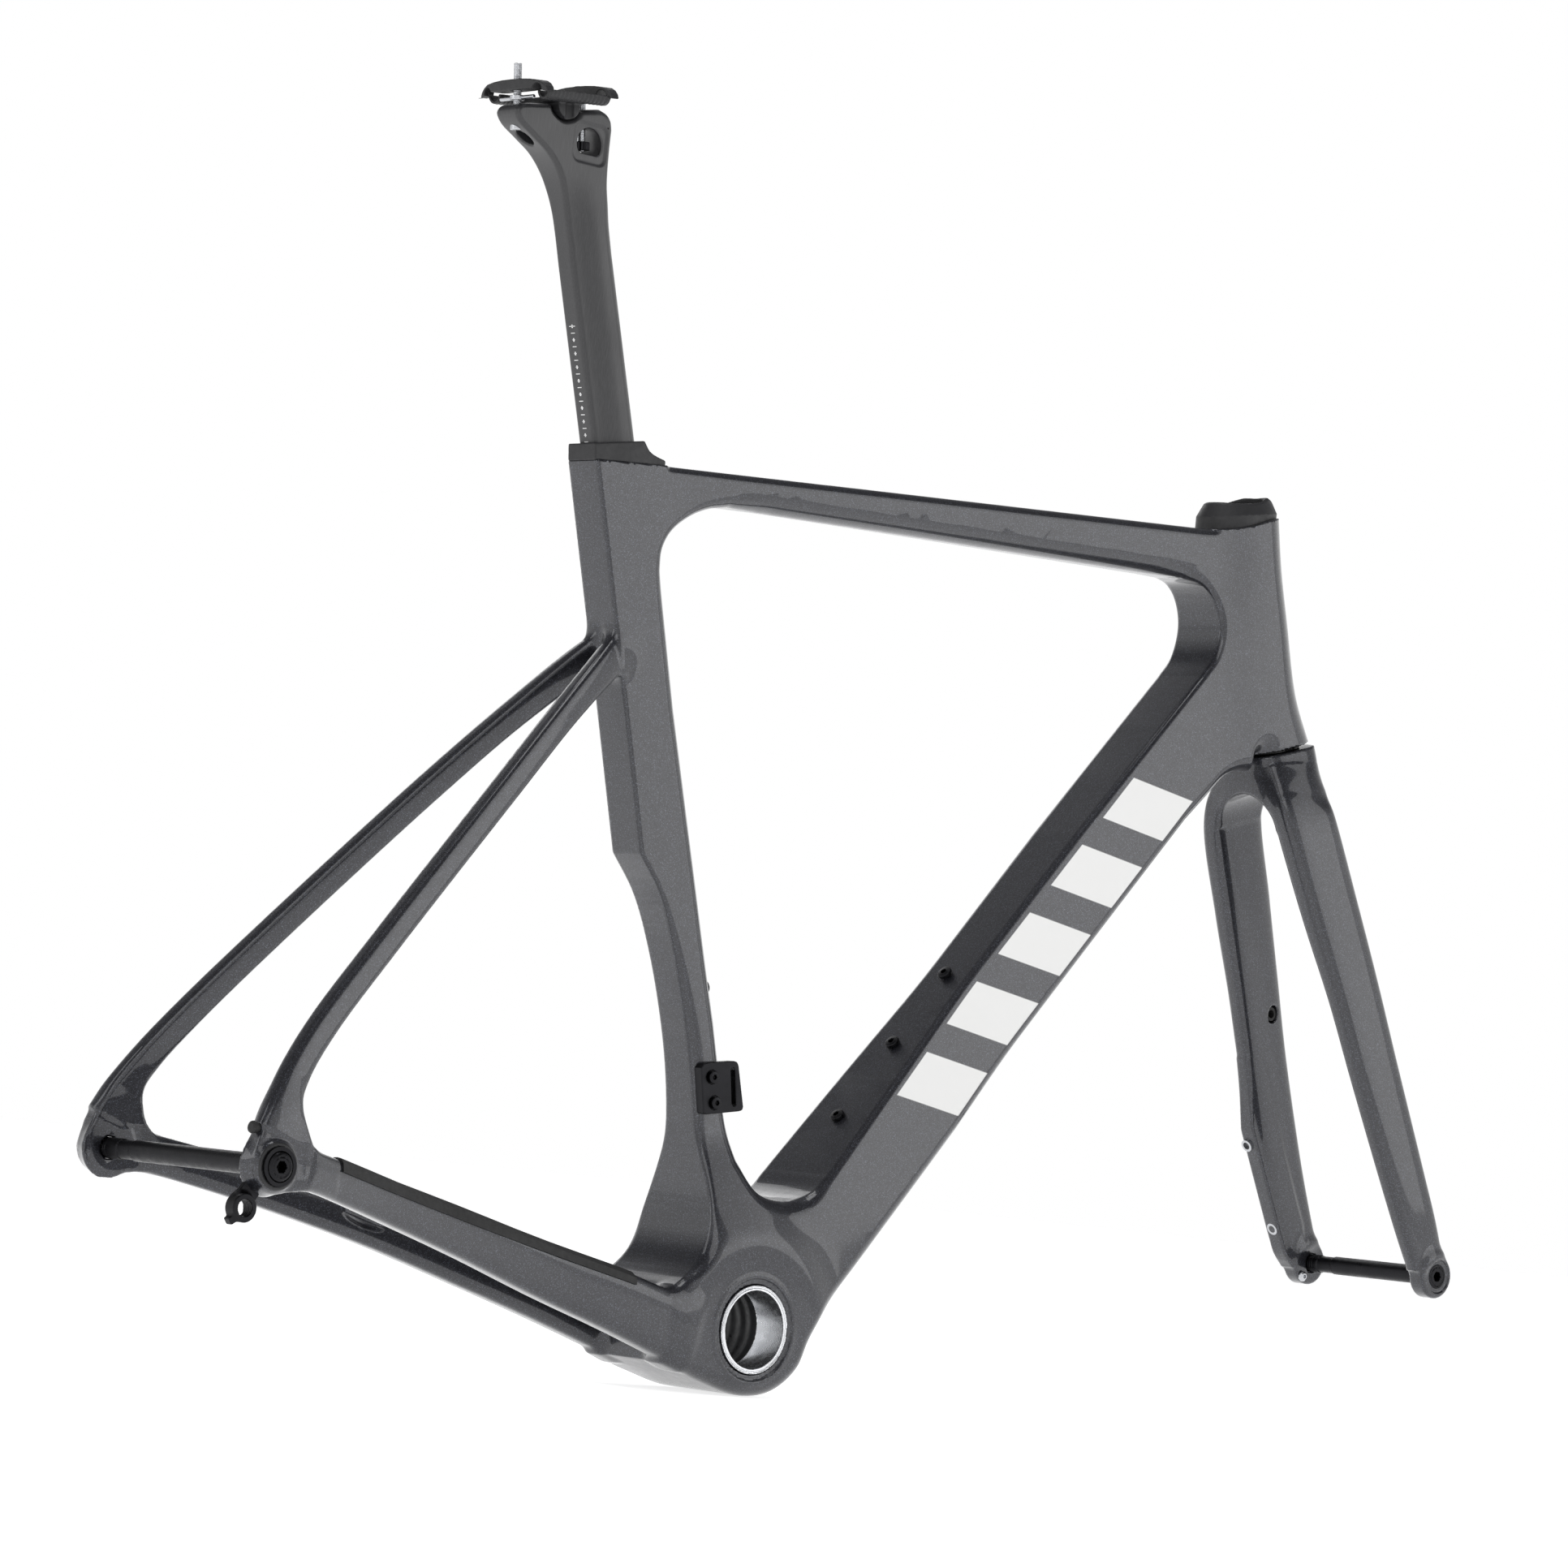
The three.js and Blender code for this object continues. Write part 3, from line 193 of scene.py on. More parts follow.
def fuse(a, b, radius):
    """Two solids together, with a fillet where they join."""
    h = np.maximum(radius - np.abs(a - b), 0) / radius
    return np.minimum(a, b) - h * h * radius / 4


def carve(a, b, radius):
    """The first solid with the second cut out of it."""
    return meet(a, -b, radius)


def ramp(value, start, end):
    """0 before the start, 1 past the end and a smooth rise between them."""
    t = np.clip((value - start) / (end - start), 0, 1)
    return t * t * (3 - 2 * t)


class Tube:
    """A tube along a line of places with a rounded-rectangle section. Each row holds x, y, z, the half
    width across the bike, the half depth in the side view and how square the section is."""

    def __init__(self, rows, key):
        rows = smooth_rows(rows, 16)
        order = np.argsort(rows[:, key])
        self.rows, self.key = rows[order], key
        self.low = rows[:, :3].min(0) - 40
        self.high = rows[:, :3].max(0) + 40
        tangents = np.gradient(self.rows[:, :3], axis=0)
        self.tangents = tangents / np.linalg.norm(tangents, axis=1, keepdims=True)

    def __call__(self, p):
        away = np.linalg.norm(np.maximum(np.maximum(self.low - p, p - self.high), 0), axis=1)
        out = 30 + away
        near = away < 1e-6
        out[near] = self._near(p[near])
        return out

    def _near(self, p):
        keys = self.rows[:, self.key]
        t = p[:, self.key]
        for _ in range(3):
            centre = np.stack([np.interp(t, keys, self.rows[:, k]) for k in range(3)], 1)
            tangent = np.stack([np.interp(t, keys, self.tangents[:, k]) for k in range(3)], 1)
            along = ((p - centre) * tangent).sum(1)
            t = np.clip(t + along * tangent[:, self.key], keys[0], keys[-1])
        centre = np.stack([np.interp(t, keys, self.rows[:, k]) for k in range(3)], 1)
        tangent /= np.linalg.norm(tangent, axis=1, keepdims=True)
        rel = p - centre
        along = (rel * tangent).sum(1)
        rel -= along[:, None] * tangent
        across = np.array([0, 1.0, 0]) - tangent * tangent[:, 1:2]
        across /= np.linalg.norm(across, axis=1, keepdims=True)
        deep = np.cross(tangent, across)
        width, depth, power = (np.interp(t, keys, self.rows[:, k]) for k in (3, 4, 5))
        u = np.abs((rel * across).sum(1)) / width
        v = np.abs((rel * deep).sum(1)) / depth
        scale = (u ** power + v ** power + 1e-12) ** (1 / power)
        reach = np.linalg.norm(rel, axis=1)
        side = np.where(reach > 1e-6, reach * (1 - 1 / scale), -np.minimum(width, depth))
        side = np.maximum(side, -np.minimum(width, depth))
        past = np.abs(along) - 0.5
        return np.where(past > 0, np.hypot(np.maximum(side, 0), past), side)


# ---------------------------------------------------------------- turning a distance into a mesh
BLOCK = 4  # grid cells along one side of a block that is tested as a whole


BATCH = 200000


def batches(field, points):
    return np.concatenate([field(points[i:i + BATCH]) for i in range(0, len(points), BATCH)])


def slopes(field, points, reach=0.05):
    """The direction in which the distance grows, at each point."""
    columns = []
    for axis in np.eye(3):
        columns.append(batches(field, points + axis * reach) - batches(field, points - axis * reach))
    return np.stack(columns, 1) / (2 * reach)


def settle(field, points, rounds, soft=0.1):
    """Points moved onto the surface, and the surface's normals there."""
    for _ in range(rounds):
        g = slopes(field, points)
        size = np.maximum((g * g).sum(1), 0.05)
        move = g * (batches(field, points) / size)[:, None]
        far = np.linalg.norm(move, axis=1)
        points = points - move * np.minimum(1, 1.0 / np.maximum(far, 1e-9))[:, None]
    g = slopes(field, points, soft)
    return points, g / np.maximum(np.linalg.norm(g, axis=1, keepdims=True), 1e-9)


def contour(field, low, high, step):
    """The surface where the distance is zero, as points and four-sided faces."""
    low = np.array(low, float)
    blocks = np.ceil((np.array(high, float) - low) / (step * BLOCK)).astype(int)
    shape = blocks * BLOCK + 1
    cells = np.indices(blocks).reshape(3, -1).T
    centres = low + (cells + 0.5) * step * BLOCK
    rough = batches(field, centres).reshape(blocks)
    near = np.abs(rough) < step * BLOCK * 1.25
    spread = lambda a: a.repeat(BLOCK, 0).repeat(BLOCK, 1).repeat(BLOCK, 2)
    needed = np.zeros(shape, bool)
    needed[:-1, :-1, :-1] = spread(near)
    needed[1:] |= needed[:-1]
    needed[:, 1:] |= needed[:, :-1]
    needed[:, :, 1:] |= needed[:, :, :-1]
    values = np.full(shape, 99.0, np.float32)
    values[:-1, :-1, :-1] = np.where(spread(rough) < 0, -99.0, 99.0)
    places = np.argwhere(needed)
    values[needed] = batches(field, low + places * step)
    for border in (values[0], values[-1], values[:, 0], values[:, -1], values[:, :, 0], values[:, :, -1]):
        np.maximum(border, 0.01, out=border)
    solid = values < 0
    edges = []
    for axis in range(3):
        first = [slice(None)] * 3
        second = [slice(None)] * 3
        first[axis], second[axis] = slice(0, -1), slice(1, None)
        at = np.argwhere(solid[tuple(first)] != solid[tuple(second)])
        a = values[tuple(at.T)]
        b = values[tuple((at + np.eye(3, dtype=int)[axis]).T)]
        cut = at.astype(float)
        cut[:, axis] += a / (a - b)
        edges.append((axis, at, cut, a < 0))
    all_cells, all_cuts = [], []
    for axis, at, cut, _ in edges:
        others = [k for k in range(3) if k != axis]
        for du in (0, 1):
            for dv in (0, 1):
                cell = at.copy()
                cell[:, others[0]] -= du
                cell[:, others[1]] -= dv
                all_cells.append(cell)
                all_cuts.append(cut)
    cells = np.concatenate(all_cells)
    cuts = np.concatenate(all_cuts)
    flat = np.ravel_multi_index(cells.T, shape)
    unique, inverse = np.unique(flat, return_inverse=True)
    counts = np.bincount(inverse)
    points = np.stack([np.bincount(inverse, cuts[:, k]) / counts for k in range(3)], 1)
    faces = []
    for axis, at, _, flipped in edges:
        u, v = [k for k in range(3) if k != axis]
        corner = []
        for du, dv in ((0, 0), (1, 0), (1, 1), (0, 1)):
            cell = at.copy()
            cell[:, u] -= du
            cell[:, v] -= dv
            corner.append(np.searchsorted(unique, np.ravel_multi_index(cell.T, shape)))
        quad = np.stack(corner, 1)
        turn = flipped if axis != 1 else ~flipped
        quad[~turn] = quad[~turn][:, ::-1]
        faces.append(quad)
    return low + points * step, np.concatenate(faces)


def new_object(name, points, faces):
    mesh = bpy.data.meshes.new(name)
    mesh.from_pydata(np.asarray(points) * MM, [], np.asarray(faces).tolist())
    mesh.validate()
    piece = bpy.data.objects.new(name, mesh)
    bpy.context.scene.collection.objects.link(piece)
    return piece


def applied(piece):
    """The piece with its modifiers made part of its mesh."""
    depsgraph = bpy.context.evaluated_depsgraph_get()
    mesh = bpy.data.meshes.new_from_object(piece.evaluated_get(depsgraph))
    piece.modifiers.clear()
    piece.data = mesh
    return piece


def skin(name, field, low, high, step, triangles, soft=0.1):
    """A closed mesh of the field's surface, thinned where it is flat, with exact normals."""
    points, faces = contour(field, low, high, step)
    points, _ = settle(field, points, 2)
    piece = new_object(name, points, faces)
    share = triangles / (2 * len(faces))
    if share < 1:
        thin = piece.modifiers.new("thin", "DECIMATE")
        thin.ratio = share
        applied(piece)
    mesh = piece.data
    places = np.empty(len(mesh.vertices) * 3)
    mesh.vertices.foreach_get("co", places)
    places, normals = settle(field, places.reshape(-1, 3) / MM, 1, soft)
    mesh.vertices.foreach_set("co", (places * MM).ravel())
    mesh.polygons.foreach_set("use_smooth", np.ones(len(mesh.polygons), bool))
    mesh.update()
    mesh.normals_split_custom_set_from_vertices(normals)
    return piece


# ---------------------------------------------------------------- side-view shapes
def outline(start, *parts):
    """A run of points in the side view: straight lines, and curves through the points given."""
    points = [np.array(start, float)]
    for kind, rows in parts:
        if kind == "line":
            points += [np.array(row, float) for row in rows]
        else:
            points += list(smooth_rows([points[-1], *rows], 8)[1:])
    if np.allclose(points[0], points[-1]):
        points.pop()
    return np.array(points)


def plate_map(loops, step=0.5, margin=14):
    every = np.concatenate(loops)
    shape = SideMap(every.min(0) - margin, every.max(0) + margin, step)
    return shape, shape.distance(loops, margin)


def mirrored(p):
    """The same places, all on the rider's right."""
    return np.stack([p[:, 0], -np.abs(p[:, 1]), p[:, 2]], 1)


FRAME_LOOP = outline(
    (-171, 496.5), ("line", [(-144, 405), (-131, 362), (-105, 272)]),
    ("curve", [(-86, 250), (-70, 218), (-50, 160), (-40, 112), (-36, 70), (-42, 42), (-66, 18)]),
    ("line", [(-66, -23)]),
    ("curve", [(-34, -33), (0, -40), (24, -36), (42, -22), (50, -4), (60, 11), (89, 43)]),
    ("line", [(169, 131), (269, 249), (350, 344)]),
    ("curve", [(368, 362), (382, 376), (394, 381.5), (406, 383)]),
    ("line", [(409, 394), (465, 411)]),
    ("curve", [(448, 440), (434, 484), (424, 517), (416.5, 551)]),
    ("curve", [(398, 546), (378, 539), (358, 534.5), (340, 532.5)]),
    ("line", [(-112, 501.5)]))
FRAME_HOLE = outline(
    (-7, 100), ("line", [(-29, 180), (-86, 361), (-108, 440)]),
    ("curve", [(-109, 452), (-104, 463), (-91, 474), (-76, 481), (-60, 484.5)]),
    ("line", [(100, 490.5), (330, 498.5)]),
    ("curve", [(346, 496), (356, 488), (363, 472), (360, 452), (350, 438)]),
    ("line", [(250, 324), (110, 158), (58, 96)]),
    ("curve", [(46, 84), (24, 77.5), (5, 82), (-7, 100)]))
WIDTHS = [((-20, 70), (-60, 205), 16, 13.8), ((-60, 205), (-150, 480), 13.6, 13.6),
          ((-95, 494), (340, 515), 13, 19), ((45, 40), (190, 208), 35, 20.7),
          ((190, 208), (350, 395), 20.7, 21.5), ((446, 398), (404, 545), 24.8, 24.0)]
EDGES = [((-10, 100), (-105, 420), 12.5, 12), ((-40, 70), (-84, 250), 2.2, 2.2),
         ((-84, 250), (-144, 405), 2.0, 2.0), ((-144, 405), (-171, 496), 2.0, 2.0),
         ((-112, 501), (340, 532), 5.5, 7), ((-60, 484), (330, 498), 8, 8),
         ((58, 92), (350, 438), 4.5, 4), ((92, 47), (366, 360), 9, 9),
         ((465, 411), (416, 551), 24, 23.5), ((363, 468), (352, 502), 4, 4),
         ((-66, -23), (-66, 18), 3.5, 3.5), ((-30, -33), (45, -20), 9, 9), ((-30, 40), (40, 70), 9, 9)]
SHELL_WIDTHS = ([0, 46, 60, 75, 90, 110, 130], [43, 43, 38, 32, 26.5, 18, 8])

STEER_RUN = STEER_UP[[0, 2]]


def lengthened(loop):
    """The outline with the head tube and the seat tube running on past their ends."""
    out = []
    for point in loop:
        if 350 < point[0] < 416 and point[1] > 531:
            continue
        out.append(point)
        if np.allclose(point, (409, 394)):
            out += [point - STEER_RUN * 44, np.array((465, 411)) - STEER_RUN * 44]
        if np.allclose(point, (416.5, 551)):
            out += [point + STEER_RUN * 40, np.array((356, 570))]
    return np.array(out + [loop[-1] + (-4, 36), loop[0] + SEAT_UP[[0, 2]] * 36])


body_map = SideMap((-232, -96), (526, 612), 1.0)
body_sd = body_map.distance([FRAME_LOOP, FRAME_HOLE])
long_sd = body_map.distance([lengthened(FRAME_LOOP), FRAME_HOLE])
form_map = SideMap((-232, -96), (526, 612), 4.0)
body_width = form_map.blend(WIDTHS, 4, 6)
from_shell = np.hypot(form_map.xs[:, None], form_map.zs[None, :])
body_width = blurred(np.maximum(body_width, np.interp(from_shell, *SHELL_WIDTHS)), 16)
short = SHELL_HALF_WALL - body_width
body_width = SHELL_HALF_WALL - (short + np.sqrt(short * short + 1.5)) / 2
body_edge = blurred(form_map.blend(EDGES, 5, 3), 10)

CHAINSTAY = Tube([(-50, -27, -4, 10.5, 22, 4), (-66.3, -29.5, -0.5, 9.8, 20, 4), (-110, -31.5, 11, 9.4, 18.4, 4),
                  (-165, -33.5, 24, 8.7, 16.2, 4), (-235, -41.5, 41, 8.1, 13.6, 4), (-305, -55, 56, 7.3, 11.8, 4),
                  (-345, -66, 64, 6.5, 11.3, 3.4), (-378, -76.5, 70, 5.4, 11, 3)], 0)
SEATSTAY = Tube([(-110, -1, 402, 5, 15, 3), (-128, -5, 392, 5, 13, 3), (-144, -11.5, 381, 5.4, 10.2, 3.6),
                 (-181, -21.5, 347, 5.8, 8.2, 4), (-229, -33.5, 298, 5.8, 8, 4), (-322, -53, 199, 5.8, 8, 4),
                 (-366, -62, 150, 5.8, 8.2, 4), (-386, -68, 124, 5.8, 8.8, 3.6), (-396.5, -73, 105, 5.7, 10.5, 3.2),
                 (-402, -76, 88, 5.5, 14, 3)], 2)
DROPOUT = plate_map([outline(
    (-391, 127), ("curve", [(-400, 115), (-410, 100), (-418, 76), (-415, 62), (-405, 55.5), (-391, 56.5)]),
    ("line", [(-374, 59), (-355, 59), (-355, 72)]),
    ("curve", [(-368, 76), (-378, 84), (-384, 96), (-387, 108), (-387, 122)]), ("line", [(-391, 127)]))])


def section_along(start, end):
    d = np.array(end, float) - start
    return d / np.linalg.norm(d)


TOP_TUBE_RUN = section_along((-60, 484.5), (330, 498.5))

SCOOP = np.array([-245.0, 33.9, 43.1])
SCOOP_RUN = np.array([0.952, -0.155, -0.262])


def slopes_along(rel, run):
    """How far a place lies along a line and away from it."""
    along = rel @ run
    return along, np.linalg.norm(rel - along[:, None] * run, axis=1)


def frame_field(p):
    x, y, z = p.T
    side = np.abs(y)
    q = mirrored(p)
    flat = body_map.read(body_sd, x, z)
    long = body_map.read(long_sd, x, z)
    width = form_map.read(body_width, x, z)
    edge = np.minimum(form_map.read(body_edge, x, z), width - 0.5)
    # The underside of the top tube narrows to a keel below a crease.
    above = (z - 486.6) * TOP_TUBE_RUN[0] - x * TOP_TUBE_RUN[1]
    keel = np.maximum(10 - above, 0) * 0.62 * ramp(x, -70, -20) * (1 - ramp(x, 300, 350)) * ramp(z, 440, 470)
    body = meet(long, side - width + np.minimum(keel, 7.5), edge)
    body = meet(body, flat, 0.4)
    shell = meet(np.hypot(x, z) - 33.5, side - SHELL_HALF_WALL, 1.2)
    body = fuse(body, shell, 1.5)
    stay = fuse(CHAINSTAY(q), SEATSTAY(q), 4)
    middle_y = 76.5 - np.interp(z, [85, 105, 124, 150], [0.4, 3.5, 8.5, 14.5]) - np.interp(x, [-382, -345], [0, 10.5])
    ends = meet(DROPOUT[0].read(DROPOUT[1], x, z), np.abs(side - middle_y) - np.interp(z, [98, 127], [5.5, 2.6]), 2.2)
    bowl = np.linalg.norm((q - (-387, -86.5, 74)) / (1.25, 0.36, 1.0), axis=1) - 15
    ends = fuse(ends, stay, 4)
    ends = meet(ends, -bowl * 0.5, 1.2)
    centre = np.hypot(x - REAR_AXLE[0], z - REAR_AXLE[1])
    boss = meet((centre - np.interp(side, [72, 84], [17.5, 13.2])) * 0.93, np.abs(side - 77.5) - 6.3, 0.8)
    ends = fuse(ends, boss, 2.5)
    body = fuse(body, ends, 9)
    scoop = slopes_along(p - SCOOP, SCOOP_RUN)
    body = meet(body, -(np.hypot(scoop[0] / 3.4, scoop[1]) - 4.2), 0.9)
    # The bores: bottom bracket, steerer, seatpost and axle, with a stepped face round the axle.
    body = carve(body, np.hypot(x, z) - 26.9, 0.6)
    body = carve(body, meet(np.hypot(x, z) - 30.4, 38.4 - side, 0.3), 0.3)
    steer = (p - STEER_BASE) @ STEER_UP
    off = np.hypot((p - STEER_BASE) @ STEER_FORWARD, y)
    body = carve(body, np.maximum(off - np.interp(steer, [364, 372], [21.0, 16.6]), 340 - steer), 0.5)
    ahead = (p - SEAT_BASE) @ SEAT_FORWARD
    well = meet(np.abs(ahead + 0.75) - 17.1, side - 10.35, np.where(ahead > 0, 9.3, 2.8))
    body = carve(body, np.maximum(well, 288 - (p - SEAT_BASE) @ SEAT_UP), 0.4)
    body = carve(body, centre - 6.3, 0.5)
    return carve(body, meet(centre - 9.9, 80.2 - side, 0.4), 0.4)


# ---------------------------------------------------------------- fork
CROWN = np.array([(310, -4.5, 39.0, 21.6), (328, -3.5, 35.4, 23.8), (340, -1, 31.4, 25.3), (351, 1.5, 27, 26.6),
                  (358.7, 2, 24.4, 27.5)])
CROWN = smooth_rows(CROWN, 12)
CROWN_POWER = 3.8
LEG = Tube([(*on_steer(346, 0.5, -19), 8, 22, 3.8), (*on_steer(330, -2, -26), 8.6, 23, 3.8),
            (*on_steer(314, -3.5, -32), 8.9, 23.2, 3.8), (471.5, -38.8, 300, 8.5, 22.3, 3.8),
            (495, -44.4, 250, 7.6, 20.6, 3.8), (517, -49.3, 200, 7.2, 19.4, 3.8), (550, -54.5, 131, 6.5, 17.6, 3.8),
            (566, -56, 100, 6.2, 16.4, 3.8), (577, -56, 80, 6, 14.8, 3.4)], 2)
MOUNT = plate_map([outline((497, 200), ("line", [(512, 154), (553, 84)]), ("curve", [(559, 74), (568, 66)]),
                           ("line", [(580, 66), (572, 95), (545, 140), (512, 200)]), ("line", [(497, 200)]))])


def fork_field(p):
    x, y, z = p.T
    side = np.abs(y)
    q = mirrored(p)
    steer = (p - STEER_BASE) @ STEER_UP
    ahead = (p - STEER_BASE) @ STEER_FORWARD
    centre, half, length = (np.interp(steer, CROWN[:, 0], CROWN[:, k]) for k in (1, 2, 3))
    u, v = side / half, np.abs(ahead - centre) / length
    scale = (u ** CROWN_POWER + v ** CROWN_POWER + 1e-12) ** (1 / CROWN_POWER)
    round_off = np.hypot(side, ahead - centre) * (1 - 1 / scale)
    crown = meet(np.maximum(round_off, -20) * 0.85, np.abs(steer - 334.3) - 24.3, 0.9)
    leg = LEG(q)
    tip = meet(np.hypot(x - 584.5, z - FRONT_AXLE[1]) - 14.6, np.abs(side - 56) - 6, 2.0)
    solid = fuse(leg, tip, 9)
    inward = y - np.interp(z, [90, 152, 200], [56, 53.4, 49.3])
    block = meet(MOUNT[0].read(MOUNT[1], x, z), np.abs(inward) - np.interp(z, [152, 200], [6, 4.5]), 1.6)
    solid = fuse(solid, np.where(y > 0, block, 60), 4)
    solid = fuse(solid, crown, 3)
    # The arch over the tyre, the notch behind the crown, and the holes.
    arch = np.hypot(side, np.maximum(steer - 310, 0)) - 24
    solid = meet(solid, -arch, 3.0)
    hub = np.hypot(x - FRONT_AXLE[0], z - FRONT_AXLE[1])
    solid = carve(solid, hub - 6.3, 0.5)
    solid = carve(solid, meet(hub - 10.9, 60.6 - side, 0.4), 0.4)
    port = np.where(y > 0, np.hypot(x - 512, (z - 232) * 0.8) - 4.7, 60)
    solid = carve(solid, np.maximum(port, side - 46), 0.8)
    return carve(solid, np.maximum(np.hypot(ahead, y) - 11.5, 352 - steer), 0.4)


# ---------------------------------------------------------------- seatpost
POST_LOOP = outline(
    tuple(on_seat(SEAT_TOP - 155, 16)[[0, 2]]), ("line", [(-168.5, 618)]),
    ("curve", [(-175.5, 643), (-180, 658), (-181, 674), (-181, 689)]),
    ("curve", [(-182.5, 694), (-186, 697.5), (-192, 699.3)]), ("line", [(-207.8, 696)]),
    ("curve", [(-211, 690.5), (-219, 687.2), (-227, 690.5), (-230, 695)]), ("line", [(-247, 692)]),
    ("curve", [(-253, 690), (-255.5, 686), (-252, 680.5), (-240, 673.5), (-228, 666.5), (-219, 657.5),
               (-212.5, 646), (-206, 628), (-199, 604.5)]),
    ("line", [tuple(on_seat(SEAT_TOP - 155, -17.5)[[0, 2]])]))
post_map, post_sd = plate_map([POST_LOOP], 0.5, 20)
THUMB = (-198.0, 677.5)


def post_field(p):
    x, y, z = p.T
    side = np.abs(y)
    flat = post_map.read(post_sd, x, z)
    ahead = (p - SEAT_BASE) @ SEAT_FORWARD
    head = ramp(z, 630, 664)
    back = ramp(-ahead, -4, 17) * (1 - head)
    width = 10 - 2.6 * back
    edge = 9.2 - 6.4 * np.maximum(ramp(-ahead, -6, 8), head * 0.75)
    post = meet(flat, side - width, edge)
    # The window for the thumb nut, set in a soft square recess.
    u, v = np.abs(x - THUMB[0]), np.abs(z - THUMB[1])
    square = meet(u - 12.4, v - 11.4, 5.0)
    post = meet(post, -meet(square, 9.3 - side, 1.2), 1.6)
    hole = meet(np.hypot(x - THUMB[0], z - THUMB[1]) - 9.3, THUMB[1] - 6 - z, 1.2)
    post = carve(post, hole, 0.9)
    # The bolt's way in under the back of the head.
    u, v = x + 240, z - 672.5
    port = np.hypot(y, (u * 0.863 - v * 0.504) / 1.5) - 4.4
    return carve(post, np.maximum(port, u * 0.504 + v * 0.863 - 7), 1.0)


# ---------------------------------------------------------------- materials
class Finish:
    """A node material built a node at a time, in object coordinates (metres)."""

    def __init__(self, name, colour, **sockets):
        self.material = bpy.data.materials.new(name)
        self.material.use_nodes = True
        self.material.diffuse_color = (*colour, 1)
        self.nodes = self.material.node_tree.nodes
        self.links = self.material.node_tree.links
        self.shader = self.nodes["Principled BSDF"]
        self.shader.inputs["Base Color"].default_value = (*colour, 1)
        for socket, value in sockets.items():
            self.shader.inputs[socket.replace("_", " ")].default_value = value
        self.places = self.node("ShaderNodeTexCoord").outputs["Object"]

    def node(self, kind, feeds=(), **settings):
        made = self.nodes.new(kind)
        for key, value in settings.items():
            if key in made.inputs:
                made.inputs[key].default_value = value
            else:
                setattr(made, key, value)
        for socket, source in dict(feeds).items():
            self.links.new(source, made.inputs[socket])
        return made

    def noise(self, scale, detail=3.0, rough=0.5, stretch=None):
        places = self.places
        if stretch:
            places = self.node("ShaderNodeMapping", {"Vector": places}, Scale=stretch).outputs[0]
        made = self.node("ShaderNodeTexNoise", {"Vector": places}, Scale=scale, Detail=detail, Roughness=rough)
        return made.outputs["Fac"]

    def cells(self, scale):
        made = self.node("ShaderNodeTexVoronoi", {"Vector": self.places}, Scale=scale)
        return made.outputs["Color"], made.outputs["Distance"]

    def calc(self, operation, a, b=None):
        made = self.node("ShaderNodeMath", operation=operation)
        for index, value in enumerate((a, b)):
            if isinstance(value, (int, float)):
                made.inputs[index].default_value = value
            elif value is not None:
                self.links.new(value, made.inputs[index])
        return made.outputs[0]

    def along(self, direction):
        """How far a place lies along a direction, in metres."""
        made = self.node("ShaderNodeVectorMath", {0: self.places}, operation="DOT_PRODUCT")
        made.inputs[1].default_value = tuple(float(v) for v in direction)
        return made.outputs["Value"]

    def ramp(self, value, *stops):
        made = self.node("ShaderNodeValToRGB", {"Fac": value})
        elements = made.color_ramp.elements
        for index, (at, colour) in enumerate(stops):
            element = elements[index] if index < len(elements) else elements.new(at)
            element.position = at
            element.color = colour if len(colour) == 4 else (*colour, 1)
        return made.outputs["Color"]

    def between(self, value, low, high, soft=0.0003):
        """1 where the value lies between two limits, with a thin soft edge."""
        rise = self.node("ShaderNodeMapRange", {"Value": value}, **{"From Min": low - soft, "From Max": low + soft})
        fall = self.node("ShaderNodeMapRange", {"Value": value}, **{"From Min": high + soft, "From Max": high - soft})
        return self.calc("MULTIPLY", rise.outputs[0], fall.outputs[0])

    def blend(self, factor, a, b):
        made = self.node("ShaderNodeMix", {0: factor}, data_type="RGBA")
        for socket, value in ((6, a), (7, b)):
            if isinstance(value, tuple):
                made.inputs[socket].default_value = (*value, 1)
            else:
                self.links.new(value, made.inputs[socket])
        return made.outputs[2]

    def set(self, socket, source):
        self.links.new(source, self.shader.inputs[socket])
        return self

    def vary(self, socket, source, low, high, start=0.3, end=0.7):
        made = self.node("ShaderNodeMapRange", {"Value": source},
                         **{"From Min": start, "From Max": end, "To Min": low, "To Max": high})
        return self.set(socket, made.outputs[0])

    def bump(self, height, distance, strength):
        made = self.node("ShaderNodeBump", {"Height": height}, Strength=strength, Distance=distance)
        if self.shader.inputs["Normal"].is_linked:
            self.links.new(self.shader.inputs["Normal"].links[0].from_socket, made.inputs["Normal"])
        return self.set("Normal", made.outputs[0])


DOWN_TUBE_RUN = (0.649, 0.0, 0.761)
DOWN_TUBE_RISE = (-DOWN_TUBE_RUN[2], 0.0, DOWN_TUBE_RUN[0])


